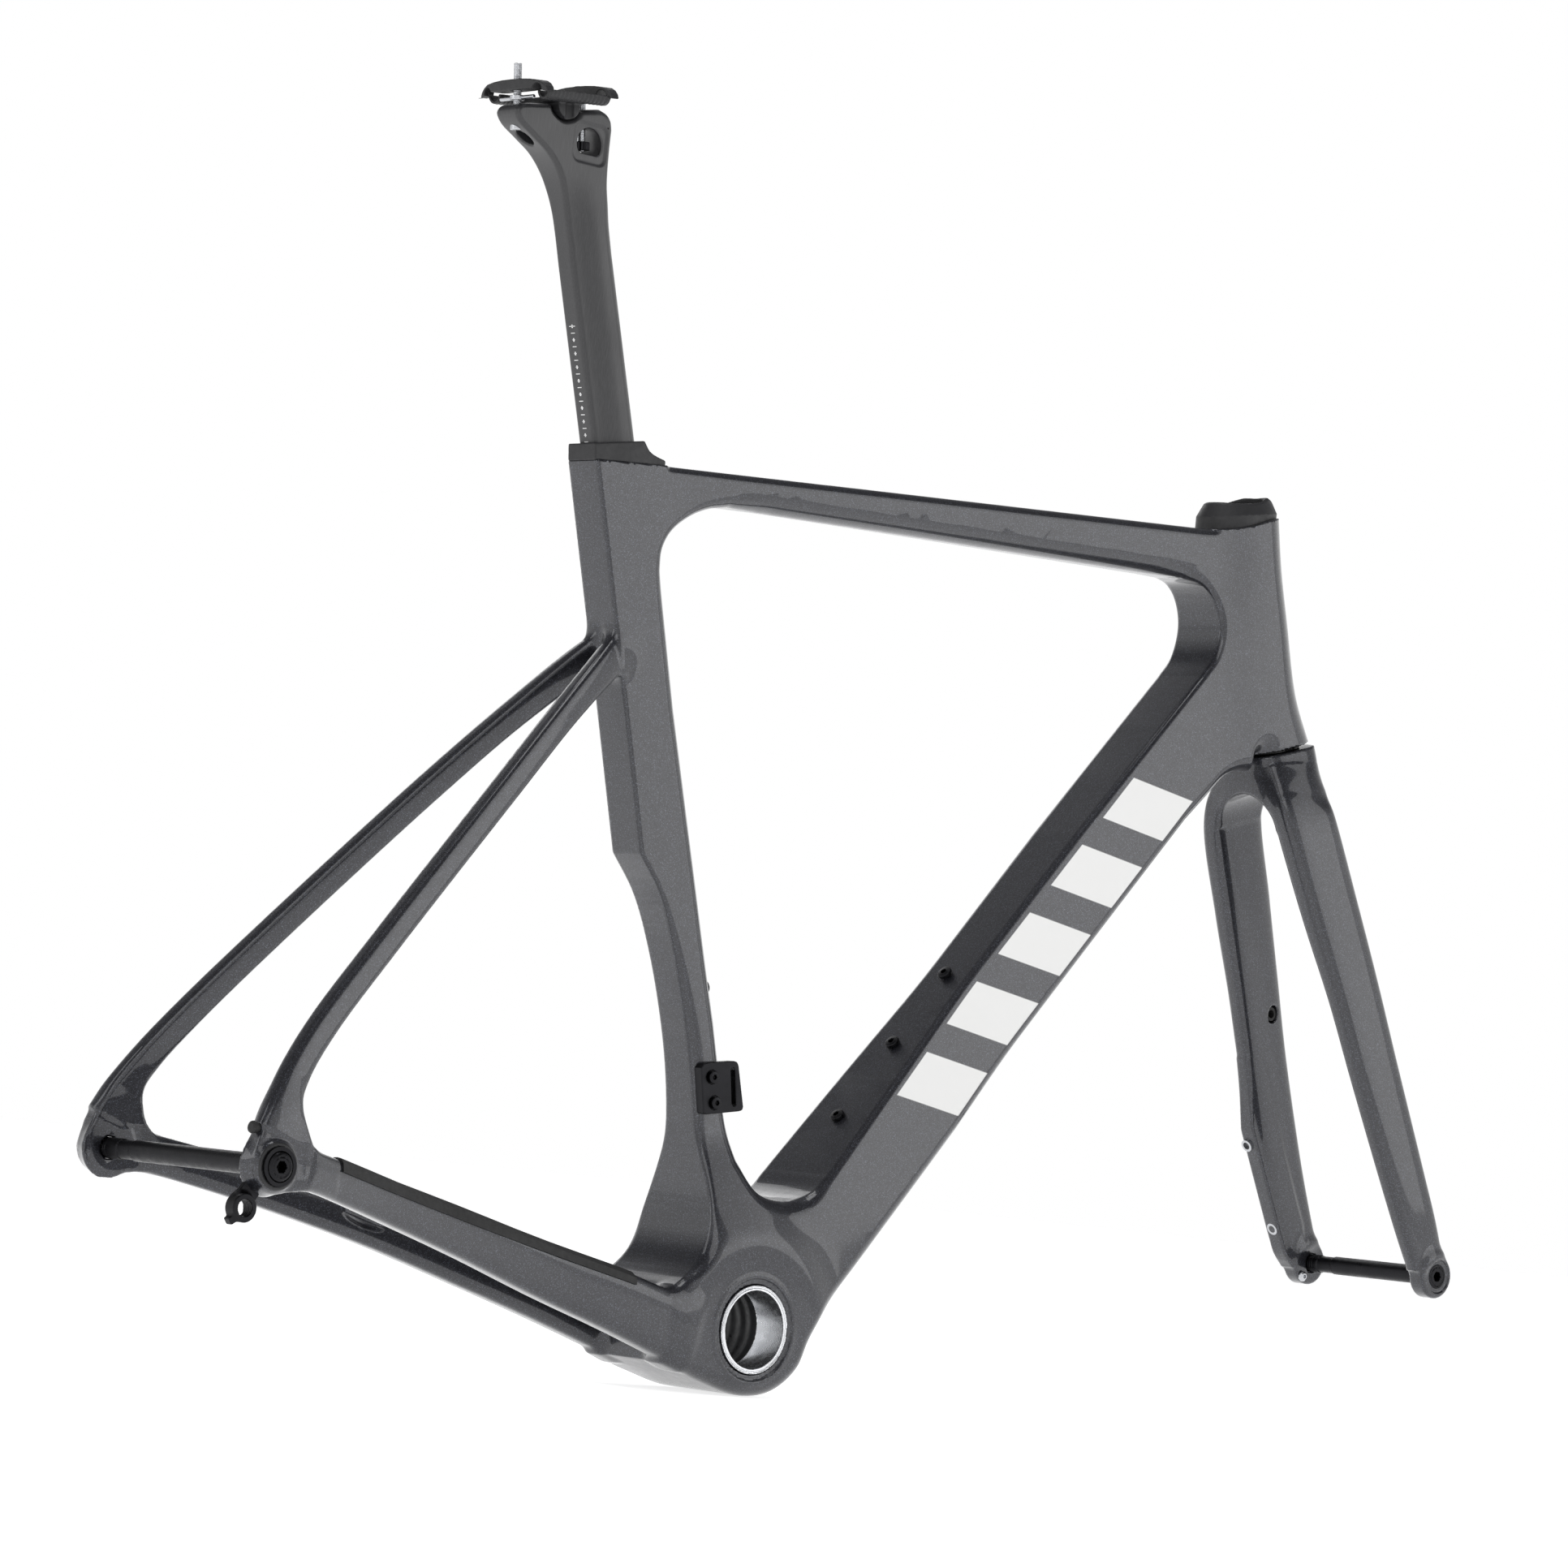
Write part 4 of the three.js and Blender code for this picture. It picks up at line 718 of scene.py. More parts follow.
def painted(name):
    """Graphite paint full of fine metal flake under clear coat, with plain slanted bars on the down tube."""
    paint = Finish(name, (0.040, 0.041, 0.046), Metallic=0.6, Roughness=0.36, Coat_Weight=0.9,
                   Coat_Roughness=0.06, Coat_IOR=1.5)
    flake, _ = paint.cells(2600.0)
    glint = paint.node("ShaderNodeSeparateColor", {"Color": flake}).outputs[0]
    fine = paint.ramp(glint, (0.0, (0.012, 0.012, 0.015)), (0.60, (0.022, 0.022, 0.028)),
                      (0.88, (0.042, 0.044, 0.052)), (1.0, (0.11, 0.12, 0.15)))
    drift = paint.noise(6.0, 4.0)
    base = paint.blend(paint.calc("MULTIPLY", drift, 0.30), fine, (0.016, 0.017, 0.019))
    u = paint.along(DOWN_TUBE_RUN)
    v = paint.along(DOWN_TUBE_RISE)
    lean = paint.calc("ADD", u, paint.calc("MULTIPLY", v, 0.62))
    share = paint.calc("FRACT", paint.calc("DIVIDE", lean, BAR_PITCH))
    bars = paint.between(share, 0.10, 0.70, 0.006)
    bars = paint.calc("MULTIPLY", bars, paint.between(lean, *BAR_RUN))
    bars = paint.calc("MULTIPLY", bars, paint.between(v, *BAR_BAND))
    away = paint.calc("ABSOLUTE", paint.along((0, 1, 0)))
    bars = paint.calc("MULTIPLY", bars, paint.between(away, 0.0165, 0.05))
    paint.set("Base Color", paint.blend(bars, base, (0.70, 0.70, 0.69)))
    paint.vary("Metallic", bars, 0.6, 0.0, 0.0, 1.0)
    paint.vary("Roughness", paint.noise(160.0, 5.0), 0.31, 0.41)
    tilt, _ = paint.cells(3200.0)
    paint.bump(paint.node("ShaderNodeSeparateColor", {"Color": tilt}).outputs[1], 0.00002, 0.06)
    return paint.bump(paint.noise(260.0, 2.0), 0.00004, 0.15).material


def satin(name):
    """Satin black carbon fibre: fine strands under a thin lacquer."""
    made = Finish(name, (0.042, 0.042, 0.045), Roughness=0.40, Coat_Weight=0.35, Coat_Roughness=0.25,
                  Specular_IOR_Level=0.5)
    strands = made.noise(1.0, 6.0, 0.6, (2600, 2600, 90))
    base = made.ramp(strands, (0.30, (0.010, 0.010, 0.011)), (0.55, (0.020, 0.020, 0.022)),
                     (0.75, (0.036, 0.036, 0.039)))
    made.set("Base Color", base)
    made.vary("Roughness", made.noise(38.0, 4.0), 0.34, 0.46)
    return made.bump(strands, 0.00003, 0.3).material


def moulded(name, colour, rough, grain=1400.0, depth=0.00008):
    """Moulded plastic or rubber with a fine matt grain."""
    made = Finish(name, colour, Roughness=rough, Specular_IOR_Level=0.45)
    worn = made.noise(22.0, 5.0, 0.6)
    lighter = tuple(c * 1.7 + 0.004 for c in colour)
    made.set("Base Color", made.ramp(worn, (0.30, colour), (0.72, lighter)))
    made.vary("Roughness", made.noise(300.0, 3.0), rough - 0.07, rough + 0.07)
    return made.bump(made.noise(grain, 2.0), depth, 0.6).material


def metal(name, colour, rough, axis=None, pitch=0.0005, depth=0.00003):
    """Metal with fine tool marks: rings along a turning axis where there is one, and small stains."""
    made = Finish(name, colour, Metallic=1.0, Roughness=rough)
    stains = made.noise(60.0, 5.0, 0.6)
    darker = tuple(c * 0.84 for c in colour)
    made.set("Base Color", made.ramp(stains, (0.28, darker), (0.60, colour)))
    made.vary("Roughness", made.noise(240.0, 4.0), rough * 0.75, rough * 1.3)
    if axis is not None:
        turn = made.calc("SINE", made.calc("MULTIPLY", made.along(axis), 2 * math.pi / pitch))
        made.bump(turn, depth, 0.5)
    return made.bump(made.noise(700.0, 2.0), 0.00001, 0.15).material


BAR_PITCH = 0.062
BAR_RUN = (0.190, 0.500)
BAR_BAND = (-0.0350, 0.0130)
ACROSS = (0, 1, 0)
FINISHES = {
    "paint": painted("graphite_flake_paint"),
    "satin_carbon": satin("satin_carbon_fibre"),
    "matte_black": moulded("matt_black_moulding", (0.009, 0.009, 0.010), 0.50),
    "black_metal": metal("black_anodised_metal", (0.022, 0.022, 0.024), 0.34, ACROSS, 0.0006),
    "steel": metal("bolt_steel", (0.52, 0.53, 0.55), 0.27),
    "machined": metal("turned_aluminium", (0.76, 0.77, 0.79), 0.26, ACROSS, 0.0014, 0.000012),
    "rubber": moulded("black_rubber", (0.008, 0.008, 0.008), 0.64, 900.0, 0.00012),
}


def dress(piece, slot, body):
    piece.data.materials.clear()
    piece.data.materials.append(FINISHES[slot])
    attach(piece, body)
    return piece


# ---------------------------------------------------------------- the painted shells and the post
def box_of(*nodes, room):
    lows, highs = zip(*(corners(node) for node in nodes))
    return np.min(lows, 0) - room, np.max(highs, 0) + room


def skinned(name, field, nodes, slot, body, step, triangles, room=1.5, soft=0.1):
    """A piece made from a field, in the place of one CAD node or of several."""
    nodes = (nodes,) if isinstance(nodes, str) else nodes
    low, high = box_of(*nodes, room=room)
    piece = skin(name, field, low, high, step, triangles, soft)
    dress(piece, slot, body)
    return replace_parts(piece, *nodes)


FRAME_NODES = ("down_tube", "top_tube", "seat_tube", "head_tube", "bottom_bracket_shell", "chainstay_right",
               "chainstay_left", "seatstay_right", "seatstay_left", "dropout_right", "dropout_left")
FORK_NODES = ("fork_crown", "fork_leg_right", "fork_leg_left")
fine = 1.0
skinned("frame_shell", frame_field, FRAME_NODES, "paint", "frame", 2.6 - 1.0 * fine, 190000, 5, 0.9)
skinned("fork_shell", fork_field, FORK_NODES, "paint", "fork", 2.0 - 0.7 * fine, 110000, 5, 0.8)
skinned("post_shell", post_field, "seatpost", "satin_carbon", "seatpost", 1.4 - 0.4 * fine, 80000, 3, 0.6)


# ---------------------------------------------------------------- small pieces
def hexagon(p, centre, axis, flats, depth):
    """A six-sided bar running from a centre along an axis."""
    axis = np.array(axis, float) / np.linalg.norm(axis)
    helper = np.array([0, 1.0, 0]) if abs(axis[1]) < 0.9 else np.array([1.0, 0, 0])
    u = np.cross(axis, helper)
    u /= np.linalg.norm(u)
    v = np.cross(axis, u)
    rel = p - np.array(centre, float)
    a, b = rel @ u, rel @ v
    sides = [np.abs(a * math.cos(t) + b * math.sin(t)) for t in (0, math.pi / 3, -math.pi / 3)]
    across = np.maximum(np.maximum(*sides[:2]), sides[2]) - flats / 2
    along = rel @ axis
    return meet(across, np.abs(along - depth / 2) - depth / 2, 0.3)


def head_seat(node, outward, height):
    """The middle of a bolt head's underside, from the outermost face of its CAD node."""
    places = node_places(node)
    along = places @ outward
    rim = places[along > along.max() - 0.05]
    return (rim.max(0) + rim.min(0)) / 2 - outward * height


def teeth(along, pitch, depth):
    """A saw-tooth ripple along an axis, for threads and ribs."""
    return depth * np.abs(((along / pitch) % 1.0) * 2 - 1)


def screw(name, node, outward, head, height, socket, shank, dome):
    """A bolt: a round head with softened rim and hex socket, and a shank with thread rings."""
    outward = np.array(outward, float) / np.linalg.norm(outward)
    centre = head_seat(node, outward, height)
    reach = float(-((node_places(node) - centre) @ outward).min())

    def field(p):
        rel = p - centre
        along = rel @ outward
        off = np.linalg.norm(rel - along[:, None] * outward, axis=1)
        top = height - dome * (off / head) ** 2
        solid = meet(off - head, np.maximum(along - top, -along), 0.45)
        solid = carve(solid, hexagon(p, centre + outward * (height - socket * 0.75), outward, socket, 9), 0.2)
        thread = teeth(along, 0.8, 0.22)
        return fuse(solid, meet(off - shank + thread, np.abs(along + 0.5 * reach) - 0.5 * reach, 0.2), 0.4)

    skinned(name, field, node, "black_metal", "frame", 0.45, 9000, 1)


# Bottle and derailleur bolts: their heads face out of the tubes.
for tube, out_of_tube, spots in (("down_tube", (-0.76904, 0, 0.63921), ("top", "middle", "bottom")),
                                 ("seat_tube", (0.95631, 0, 0.29237), ("top", "bottom"))):
    for spot in spots:
        screw(f"bottle_screw_{tube}_{spot}", f"bottle_bolt_{tube}_{spot}", out_of_tube, 4.6, 3.0, 3.4, 2.6, 0.5)
for number in (1, 2):
    screw(f"mount_screw_{number}", f"mount_bolt_{number}", (0, -1, 0), 3.7, 2.4, 2.8, 2.0, 0.3)


# ---------------------------------------------------------------- covers, hanger and axles
SEAT_COVER = plate_map([outline(
    (-171.2, 495.8), ("line", [(-112, 500.8), (-113, 504.2)]),
    ("curve", [(-121, 505.2), (-129, 507.5), (-134.5, 512.8)]), ("line", [(-172.5, 505.6)]))])


def seat_cover(p):
    x, y, z = p.T
    side = np.abs(y)
    half = 12.6 - 2.4 * ramp(x, -136, -112)
    nose = np.minimum(6.0, half - 0.5) * ramp(x, -150, -120) + 1.6
    solid = meet(SEAT_COVER[0].read(SEAT_COVER[1], x, z), side - half, 1.1)
    solid = meet(solid, meet(np.abs(x + 142) - 31, side - half, nose), 0.8)
    ahead = (p - SEAT_BASE) @ SEAT_FORWARD
    post = meet(np.abs(ahead + 0.75) - 17.15, side - 10.3, 3.0)
    return carve(solid, post, 0.5)


HEAD_COVER = plate_map([outline(
    (337, 531.2), ("curve", [(358, 533.2), (378, 537.6), (398, 544.6), (417.5, 550)]),
    ("line", [(417, 553.5)]), ("curve", [(414, 557.5), (409.5, 561), (404, 562)]),
    ("curve", [(392, 557.2), (378, 554), (362, 553), (348, 551.5)]),
    ("curve", [(346, 545), (342.5, 538), (337, 533.5)]), ("line", [(337, 531.2)]))])


def head_cover(p):
    x, y, z = p.T
    flat = HEAD_COVER[0].read(HEAD_COVER[1], x, z)
    u, v = np.abs(x - 388) / 31, np.abs(y) / 20.5
    scale = np.sqrt(u * u + v * v + 1e-9)
    plan = np.hypot(x - 388, y) * (1 - 1 / scale)
    skirt = np.maximum(z - 539 - 0.18 * (x - 337), 0) * 0.55
    solid = meet(flat, (plan + skirt) * 0.85, 1.6)
    away = np.hypot((p - STEER_BASE) @ STEER_FORWARD, y)
    along = (p - STEER_BASE) @ STEER_UP
    return carve(solid, np.maximum(away - 14.6, -(along - 470)), 0.8)


skinned("seat_cover_moulding", seat_cover, "seat_clamp_cover", "matte_black", "frame", 0.8, 14000)
skinned("head_cover_moulding", head_cover, "headset_top_cover", "matte_black", "frame", 0.9, 20000)


def crown_seal(p):
    off = np.hypot((p - STEER_BASE) @ STEER_FORWARD, p[:, 1])
    along = (p - STEER_BASE) @ STEER_UP
    ring = meet(np.abs(off - 18.6) - 3.6, np.abs(along - 359.9) - 0.9, 0.4)
    lips = 0.25 * np.cos(off * 4.2)
    return ring + np.where(np.abs(off - 19) < 3, lips * 0.4, 0)


skinned("crown_seal_ring", crown_seal, "crown_race", "rubber", "fork", 0.7, 14000)

hanger_low, hanger_high = corners("derailleur_hanger")
HANGER_RING = (-419.5, 46.0)


def hanger(p):
    x, y, z = p.T
    ring = np.hypot(x - HANGER_RING[0], z - HANGER_RING[1])
    knuckle = meet(ring - 8.0, np.abs(y + 75.0) - 4.0, 0.7)
    start, end = np.array([REAR_AXLE[0], REAR_AXLE[1]]), np.array(HANGER_RING)
    run = (end - start) / np.linalg.norm(end - start)
    rel = np.stack([x, z], 1) - start
    along = rel @ run
    across = np.abs(rel @ np.array([-run[1], run[0]]))
    arm = meet(np.abs(along - 13) - 13, across - np.interp(along, [0, 14, 26], [9.5, 6.0, 6.5]), 1.0)
    arm = meet(arm, np.abs(y + 72.75) - 1.75, 0.6)
    tab_run = np.array([x + 424.0, z - 40.5]).T
    tab = meet(np.abs(tab_run @ np.array([0.8, 0.6])) - 4.4, np.abs(tab_run @ np.array([-0.6, 0.8])) - 2.2, 0.8)
    tab = meet(tab, np.abs(y + 75.0) - 2.6, 0.6)
    solid = fuse(fuse(knuckle, arm, 3), tab, 2)
    solid = carve(solid, ring - 5.0 + teeth(y, 1.0, 0.25), 0.3)
    inside = meet(x - hanger_high[0] - 0.1, hanger_low[0] - 0.1 - x, 0.2)
    return carve(np.maximum(solid, inside), np.hypot(x - REAR_AXLE[0], z - REAR_AXLE[1]) - 6.4, 0.4)


skinned("hanger_forging", hanger, "derailleur_hanger", "black_metal", "frame", 0.6, 16000)


def axle(name, node, centre, head_radius, head_depth, collar_at):
    """A through axle with a stepped head on the rider's right, a hex socket, a collar and a threaded end."""
    low, high = corners(node)
    start = np.array([centre[0], low[1], centre[1]])
    length = high[1] - low[1]
    bar, waist = 6.0, 5.4
    stations, radii = np.array([
        (0, head_radius - 1.6), (1.2, head_radius - 0.4), (2.2, head_radius), (head_depth, head_radius),
        (head_depth + 0.2, bar), (collar_at - 6.2, bar), (collar_at - 6, waist), (collar_at + 6, waist),
        (collar_at + 6.2, bar), (length, bar)]).T

    def field(p):
        along = p[:, 1] - start[1]
        off = np.hypot(p[:, 0] - start[0], p[:, 2] - start[2])
        solid = meet((off - np.interp(along, stations, radii)) * 0.85, np.abs(along - length / 2) - length / 2, 0.5)
        solid = solid + teeth(along, 1.5, 0.35) * (along > length - 16)
        for ring in (head_radius * 0.86, head_radius * 0.66):
            solid = carve(solid, np.hypot(off - ring, along) - 0.42, 0.2)
        solid = carve(solid, hexagon(p, start - (0, 1, 0), (0, 1, 0), 6.0, 8), 0.25)
        return carve(solid, np.maximum(off - 4.2, length - 9 - along), 0.3)

    skinned(name, field, node, "black_metal", node, 0.75, 30000, 1)


axle("rear_through_axle", "rear_axle", REAR_AXLE, 8.5, 4.4, 138)
axle("front_through_axle", "front_axle", FRONT_AXLE, 9.5, 3.5, 96)


def axle_surround(p):
    """Black tapered surrounds that frame the rear axle, on both dropouts at once."""
    side = np.abs(p[:, 1])
    off = np.hypot(p[:, 0] - REAR_AXLE[0], p[:, 2] - REAR_AXLE[1])
    cone = meet((off - np.interp(side, [79, 85], [15.4, 12.4])) * 0.9, np.abs(side - 82) - 2.4, 0.6)
    cone = carve(cone, np.hypot(off - 10.6, side - 84.6) - 0.5, 0.2)
    return carve(cone, off - 9.0, 0.4)


def free_piece(name, field, low, high, slot, body, step, triangles):
    piece = skin(name, field, np.array(low, float), np.array(high, float), step, triangles)
    return dress(piece, slot, body)


for label, y_low, y_high in (("right", -86, -78), ("left", 78, 86)):
    free_piece(f"axle_surround_{label}", axle_surround, (REAR_AXLE[0] - 18, y_low, REAR_AXLE[1] - 18),
               (REAR_AXLE[0] + 18, y_high, REAR_AXLE[1] + 18), "matte_black", "frame", 0.75, 9000)


def bore_shade_tube(p):
    """The ribbed matt black tube inside the bottom bracket between its two rings: painted shade, a dark sheet that
    darkens the bore.
    """
    off, side = np.hypot(p[:, 0], p[:, 2]), np.abs(p[:, 1])
    wall = 25.6 - 0.5 * np.cos(side * 0.7)
    return meet(np.abs(off - wall) - 0.9, side - 15.0, 0.4)


# A matt black sheet that paints shade inside the bottom bracket bore.
free_piece("shell_bore_shade", bore_shade_tube, (-29, -17, -29), (29, 17, 29), "matte_black", "frame", 1.2, 9000)


MARKS, MARK_START, MARK_PITCH = 19, 9, 4.0


def height_scale():
    """Printed marks up the back of the seatpost: bars, every second one with an upright through it,
    and a wide bar at the top."""
    builder = bmesh.new()
    turn = Matrix((SEAT_FORWARD, (0, 1, 0), SEAT_UP)).transposed().to_4x4()
    for mark in range(MARKS):
        place = settle(post_field, np.array([on_seat(SEAT_TOP + MARK_START + mark * MARK_PITCH, -17.6)]), 4)[0][0]
        upright = mark % 2 == 0
        half_width = 2.6 if mark == MARKS - 1 else 1.1 if upright else 1.7
        for half, tall in [(half_width, 0.22), (0.5, 1.0)][:2 if upright else 1]:
            made = bmesh.ops.create_cube(builder, size=2.0)["verts"]
            bmesh.ops.scale(builder, verts=made, vec=(0.05, half, tall))
            bmesh.ops.transform(builder, verts=made, matrix=Matrix.Translation(place) @ turn)
    builder.normal_update()
    mesh = bpy.data.meshes.new("post_height_scale")
    bmesh.ops.scale(builder, verts=builder.verts, vec=(MM, MM, MM))
    builder.to_mesh(mesh)
    builder.free()
    piece = bpy.data.objects.new("post_height_scale", mesh)
    bpy.context.scene.collection.objects.link(piece)
    dress(piece, "satin_carbon", "seatpost")
    mesh.materials[0] = moulded("pale_print", (0.55, 0.55, 0.55), 0.5)


height_scale()


# ---------------------------------------------------------------- saddle clamp
TILT = math.radians(6.5)
PIVOT = np.array(JOINTS["saddle_tilt"]["pos_m"]) / MM
CLAMP_FORWARD = np.array([math.cos(TILT), 0, math.sin(TILT)])
CLAMP_UP = np.array([-math.sin(TILT), 0, math.cos(TILT)])
RAIL_Y, RAIL_UP, RAIL_RADIUS = 22.0, 6.0, 3.6
REAR_BOLT, FRONT_BOLT = -29.0, 20.0


def clamp_places(p):
    rel = p - PIVOT
    return rel @ CLAMP_FORWARD, np.abs(p[:, 1]), rel @ CLAMP_UP


def on_clamp(forward, up):
    return PIVOT + CLAMP_FORWARD * forward + CLAMP_UP * up


YOKE_LOW = 6.4


def yoke(at, hole):
    """A cross bar that presses on both saddle rails, with a hole for its bolt."""
    def field(p):
        f, side, up = clamp_places(p)
        top = np.interp(side, [0, 8, 16, 22, 26, 28.6, 30.2], [12.9, 12.8, 12.3, 11.3, 9.7, 7.6, 4.4])
        low = np.interp(side, [0, 13, 18, 22, 26, 30.2], [YOKE_LOW, YOKE_LOW, 6.6, 6.0, 5.0, 4.2])
        long = np.interp(side, [0, 9, 22, 30.2], [6, 5.9, 4.9, 2.6])
        solid = meet(np.maximum(up - top, low - up) * 0.92, np.abs(f - at) - long, 0.9)
        rib = np.hypot(np.abs(f - at) - long * 0.55, up - top - 0.3) - 0.7
        solid = carve(solid, np.maximum(rib, side - 24), 0.4)
        solid = carve(solid, np.hypot(side - RAIL_Y, up - RAIL_UP) - RAIL_RADIUS - 0.05, 0.3)
        return carve(solid, np.hypot(f - at, side) - hole, 0.4)
    return field


def cradle(p):
    """The lower rail troughs, the web between them and the roller that sits in the seatpost's head."""
    f, side, up = clamp_places(p)
    away = np.hypot(side - RAIL_Y, up - RAIL_UP)
    trough = meet(away - 5.6 + teeth(f, 3.0, 0.3), RAIL_RADIUS - away, 0.3)
    trough = meet(trough, up - RAIL_UP, 0.4)
    trough = meet(trough, np.abs(f + 4.5) - 23.5, 0.5)
    web = meet(meet(np.abs(f) - 12, side - 18.8, 2.0), np.abs(up - 3.1) - 1.5, 0.5)
    roller = meet(np.hypot(f, up) - 8.1, side - 13, 0.8)
    roller = meet(roller, up - 4.0, 0.5)
    roller = carve(roller, np.hypot(f, side - 13.5) - 3.2, 0.5)
    return fuse(fuse(trough, web, 1.2), roller, 1.5)


skinned("rail_cradle_casting", cradle, "rail_cradle", "matte_black", "saddle_clamp", 0.6, 30000)
skinned("front_yoke_forging", yoke(FRONT_BOLT, 4.4), "front_rail_yoke", "matte_black", "saddle_clamp", 0.6, 16000)
skinned("rear_yoke_forging", yoke(REAR_BOLT, 3.4), "rear_rail_yoke", "matte_black", "saddle_clamp", 0.6, 16000)


def stud(at, low, high, radius, head_low, head_high, head_radius, socket):
    def field(p):
        rel = p - PIVOT
        f, up = rel @ CLAMP_FORWARD, rel @ CLAMP_UP
        off = np.hypot(f - at, p[:, 1])
        shank = meet(off - radius + teeth(up, 0.9, 0.24), np.maximum(up - high, low - up), 0.3)
        cap = meet(off - head_radius, np.maximum(up - head_high, head_low - up), 0.5)
        solid = np.minimum(shank, cap)
        if socket:
            base = on_clamp(at, head_high - socket * 0.8)
            solid = carve(solid, hexagon(p, base, CLAMP_UP, socket, 12), 0.2)
        return solid
    return field


skinned("front_clamp_screw", stud(FRONT_BOLT, -24.6, 10, 2.4, 8.2, 13.2, 5.0, 4.0), "front_clamp_bolt", "steel",
       "saddle_clamp", 0.4, 12000)
skinned("rear_clamp_screw", stud(REAR_BOLT, -15, 22.6, 2.4, -16, -12, 4.0, 0), "rear_clamp_bolt", "steel",
       "saddle_clamp", 0.4, 12000)


def cross_pin(p):
    """The round nut and bar under the rear yoke, open for the bolt."""
    f, side, up = clamp_places(p)
    bar = meet(np.hypot(f - REAR_BOLT, up - 2.6) - 1.2, side - 15, 0.4)
    ring = meet(np.abs(np.hypot(f - REAR_BOLT, side) - 3.5) - 0.9, np.abs(up - 2.6) - 1.4, 0.3)
    clear = np.hypot(f - REAR_BOLT, side) - 2.65
    return np.maximum(np.minimum(bar, ring), -clear)


skinned("rear_cross_bar", cross_pin, "rear_cross_pin", "steel", "saddle_clamp", 0.35, 9000)
NUT_AXIS = np.array(JOINTS["thumb_nut_turn"]["axis"])
NUT_AT = np.array(JOINTS["thumb_nut_turn"]["pos_m"]) / MM


def thumb_nut(p):
    rel = p - NUT_AT
    along = rel @ NUT_AXIS
    forward = rel @ np.cross([0, 1.0, 0], NUT_AXIS)
    off = np.hypot(forward, p[:, 1])
    turn = np.arctan2(p[:, 1], forward)
    knurl = 0.32 * np.cos(14 * turn)
    middle_at = (NUT_SPAN[0] + NUT_SPAN[1]) / 2
    half = (NUT_SPAN[1] - NUT_SPAN[0]) / 2
    knob = meet((off - 5.1 + 0.3 - knurl) * 0.9, np.abs(along - middle_at) - half, 0.5)
    return carve(knob, off - 2.7, 0.3)


nut_along = (node_places("tilt_thumb_nut") - NUT_AT) @ NUT_AXIS
NUT_SPAN = (nut_along.min(), nut_along.max())
skinned("thumb_nut_knurled", thumb_nut, "tilt_thumb_nut", "black_metal", "tilt_nut", 0.35, 16000)


# ---------------------------------------------------------------- bottom bracket, mount plate and small trim
def sleeve(p):
    """The bare metal rings of the bottom bracket, on both sides at once."""
    off = np.hypot(p[:, 0], p[:, 2])
    side = np.abs(p[:, 1])
    ring = meet(np.abs(off - 24.9) - 1.6, np.abs(side - SLEEVE_MIDDLE) - SLEEVE_HALF, 0.5)
    return carve(ring, np.hypot(off - 25.2, side - SHELL_HALF_WALL) - 0.55, 0.2)


sleeve_low, sleeve_high = corners("shell_sleeve_left")
SLEEVE_MIDDLE = (sleeve_low[1] + sleeve_high[1]) / 2
SLEEVE_HALF = (sleeve_high[1] - sleeve_low[1]) / 2
for label in ("right", "left"):
    skinned(f"shell_ring_{label}", sleeve, f"shell_sleeve_{label}", "machined", "frame", 0.8, 26000)

MOUNT_PLATE = plate_map([outline(
    (-46, 151), ("curve", [(-44, 153.6), (-40, 155)]), ("line", [(-20, 157.5)]),
    ("curve", [(-17.6, 157), (-16, 155)]), ("line", [(-9, 131)]), ("curve", [(-9.6, 129), (-12, 128)]),
    ("line", [(-38, 124)]), ("curve", [(-40.4, 124.6), (-41, 127)]), ("line", [(-46, 151)])),
    outline((-22, 152), ("curve", [(-20.2, 153.6), (-18.5, 152)]), ("line", [(-15, 132)]),
            ("curve", [(-16.6, 130.6), (-18.5, 132)]), ("line", [(-22, 152)]))])


def mount_plate(p):
    x, y, z = p.T
    solid = meet(MOUNT_PLATE[0].read(MOUNT_PLATE[1], x, z), np.abs(y - PLATE_MIDDLE) - PLATE_HALF, 0.7)
    for bx, bz in ((-36.5, 146.5), (-32.5, 131.5)):
        solid = carve(solid, np.maximum(np.hypot(x - bx, z - bz) - 4.1, y - PLATE_MIDDLE + PLATE_HALF - 0.5), 0.3)
    return solid


plate_low, plate_high = corners("front_derailleur_mount")
PLATE_MIDDLE = (plate_low[1] + plate_high[1]) / 2
PLATE_HALF = (plate_high[1] - plate_low[1]) / 2
skinned("derailleur_mount_plate", mount_plate, "front_derailleur_mount", "black_metal", "frame", 0.5, 16000)

# CAD nodes that keep their own shape get the same finishes.
for entry_name, entry_node in frame["nodes"].items():
    if not entry_node.hide_render:
        cad_slot = NODE_SLOTS[entry_name]
        entry_node.data.materials.clear()
        entry_node.data.materials.append(FINISHES[cad_slot])


# ---------------------------------------------------------------- camera, floor and light
def look_at(thing, eye, target, roll=0.0):
    back = Vector(eye) - Vector(target)
    thing.matrix_world = (Matrix.Translation(eye) @ back.to_track_quat("Z", "Y").to_matrix().to_4x4()
                          @ Matrix.Rotation(roll, 4, "Z"))


TARGET = Vector((0.0149, 0.0, 0.3275))
AZIMUTH, ELEVATION, ROLL = math.radians(-42.589), math.radians(-3.754), math.radians(5.852)
DISTANCE = 3.5276
back = Vector((math.sin(AZIMUTH) * math.cos(ELEVATION), -math.cos(AZIMUTH) * math.cos(ELEVATION),
               math.sin(ELEVATION)))
camera = bpy.data.objects.new("camera", bpy.data.cameras.new("camera"))
bpy.context.scene.collection.objects.link(camera)
camera.data.sensor_width = 36.0
camera.data.lens = 134.08
camera.data.clip_end = 60.0
look_at(camera, TARGET + back * DISTANCE, TARGET, ROLL)
bpy.context.scene.camera = camera

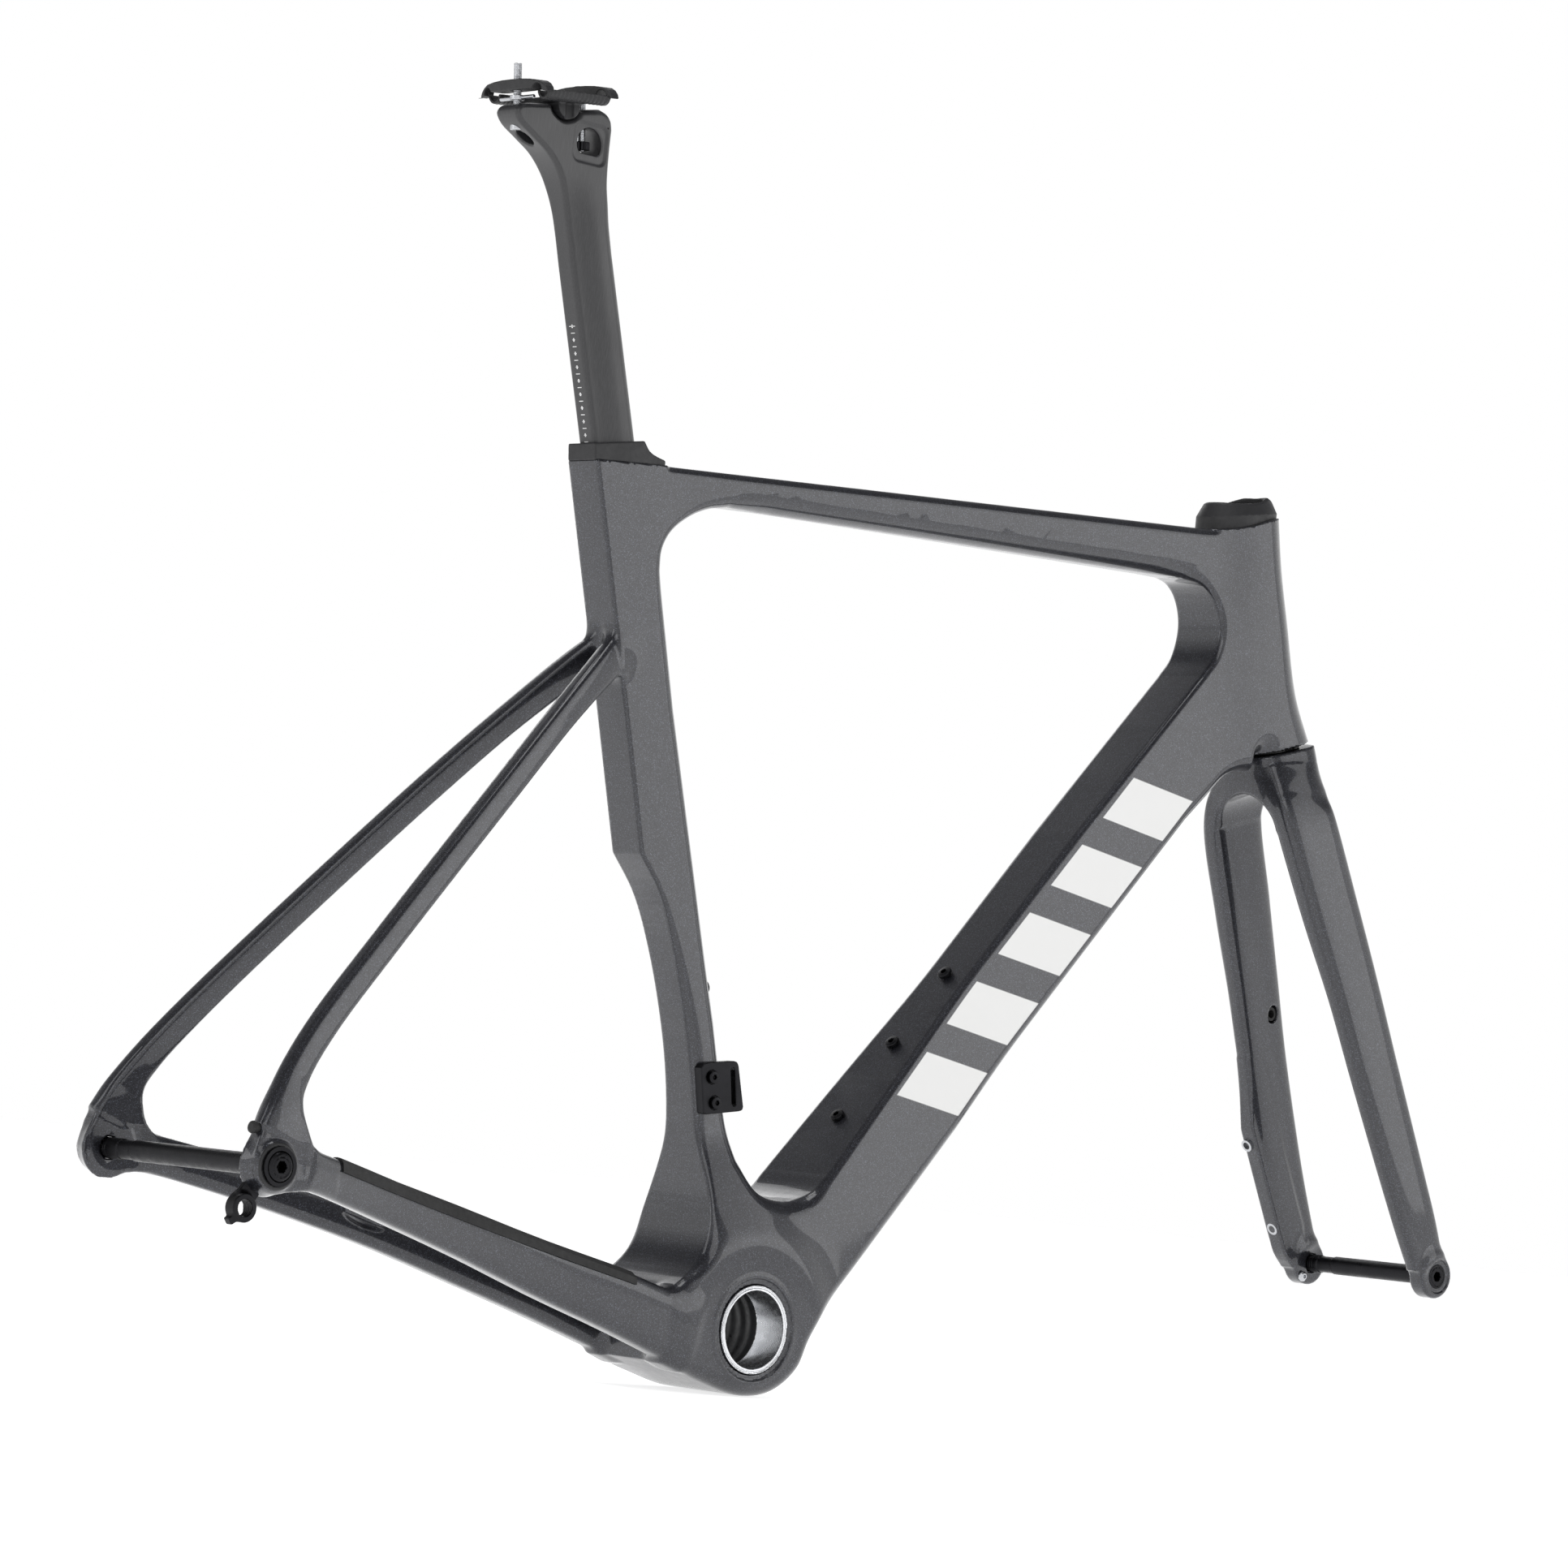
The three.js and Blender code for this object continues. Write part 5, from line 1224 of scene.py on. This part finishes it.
SKY = 1.0
bpy.context.scene.view_settings.view_transform = "Standard"
FLOOR_Z = corners("bottom_bracket_shell")[0][2] * MM - 0.0005
floor_mesh = bpy.data.meshes.new("studio_floor")
floor_mesh.from_pydata([(-20, -20, FLOOR_Z), (20, -20, FLOOR_Z), (20, 20, FLOOR_Z), (-20, 20, FLOOR_Z)], [],
                       [(0, 1, 2, 3)])
floor = bpy.data.objects.new("studio_floor", floor_mesh)
bpy.context.scene.collection.objects.link(floor)
pale = Finish("pale_floor", (0.80, 0.80, 0.80), Roughness=0.9, Specular_IOR_Level=0.1,
              Emission_Color=(1, 1, 1, 1), Emission_Strength=0.74)
pale.set("Base Color", pale.ramp(pale.noise(3.0), (0.0, (0.85, 0.85, 0.85)), (1.0, (0.87, 0.87, 0.87))))
floor_mesh.materials.append(pale.material)


def lamp(name, place, size, power):
    light = bpy.data.lights.new(name, "AREA")
    light.shape = "RECTANGLE"
    light.size, light.size_y = size
    light.energy = power
    holder = bpy.data.objects.new(name, light)
    bpy.context.scene.collection.objects.link(holder)
    look_at(holder, Vector(place), TARGET)


lamp("key_light", (-2.0, -3.0, 2.4), (3.0, 1.6), 22)
lamp("side_light", (2.4, -2.6, 1.4), (1.6, 2.4), 14)
lamp("rear_light", (-3.2, 0.9, 1.8), (1.2, 2.4), 16)
lamp("far_light", (1.5, 3.0, 2.4), (2.4, 1.6), 14)
lamp("top_light", (0.0, 0.0, 3.4), (2.6, 1.0), 24)

# The surroundings are white round the horizon and darker overhead, as in a studio with a white sweep.
world = bpy.data.worlds.new("studio")
bpy.context.scene.world = world
world.use_nodes = True
sky, sky_links = world.node_tree.nodes, world.node_tree.links
height = sky.new("ShaderNodeSeparateXYZ")
sky_links.new(sky.new("ShaderNodeTexCoord").outputs["Generated"], height.inputs[0])
shade = sky.new("ShaderNodeValToRGB")
sky_links.new(height.outputs["Z"], shade.inputs["Fac"])
shade.color_ramp.elements[0].position, shade.color_ramp.elements[1].position = 0.24, 0.55
shade.color_ramp.elements[0].color = (1, 1, 1, 1)
shade.color_ramp.elements[1].color = (0.16, 0.16, 0.17, 1)
sky_links.new(shade.outputs["Color"], sky["Background"].inputs["Color"])
sky["Background"].inputs["Strength"].default_value = SKY
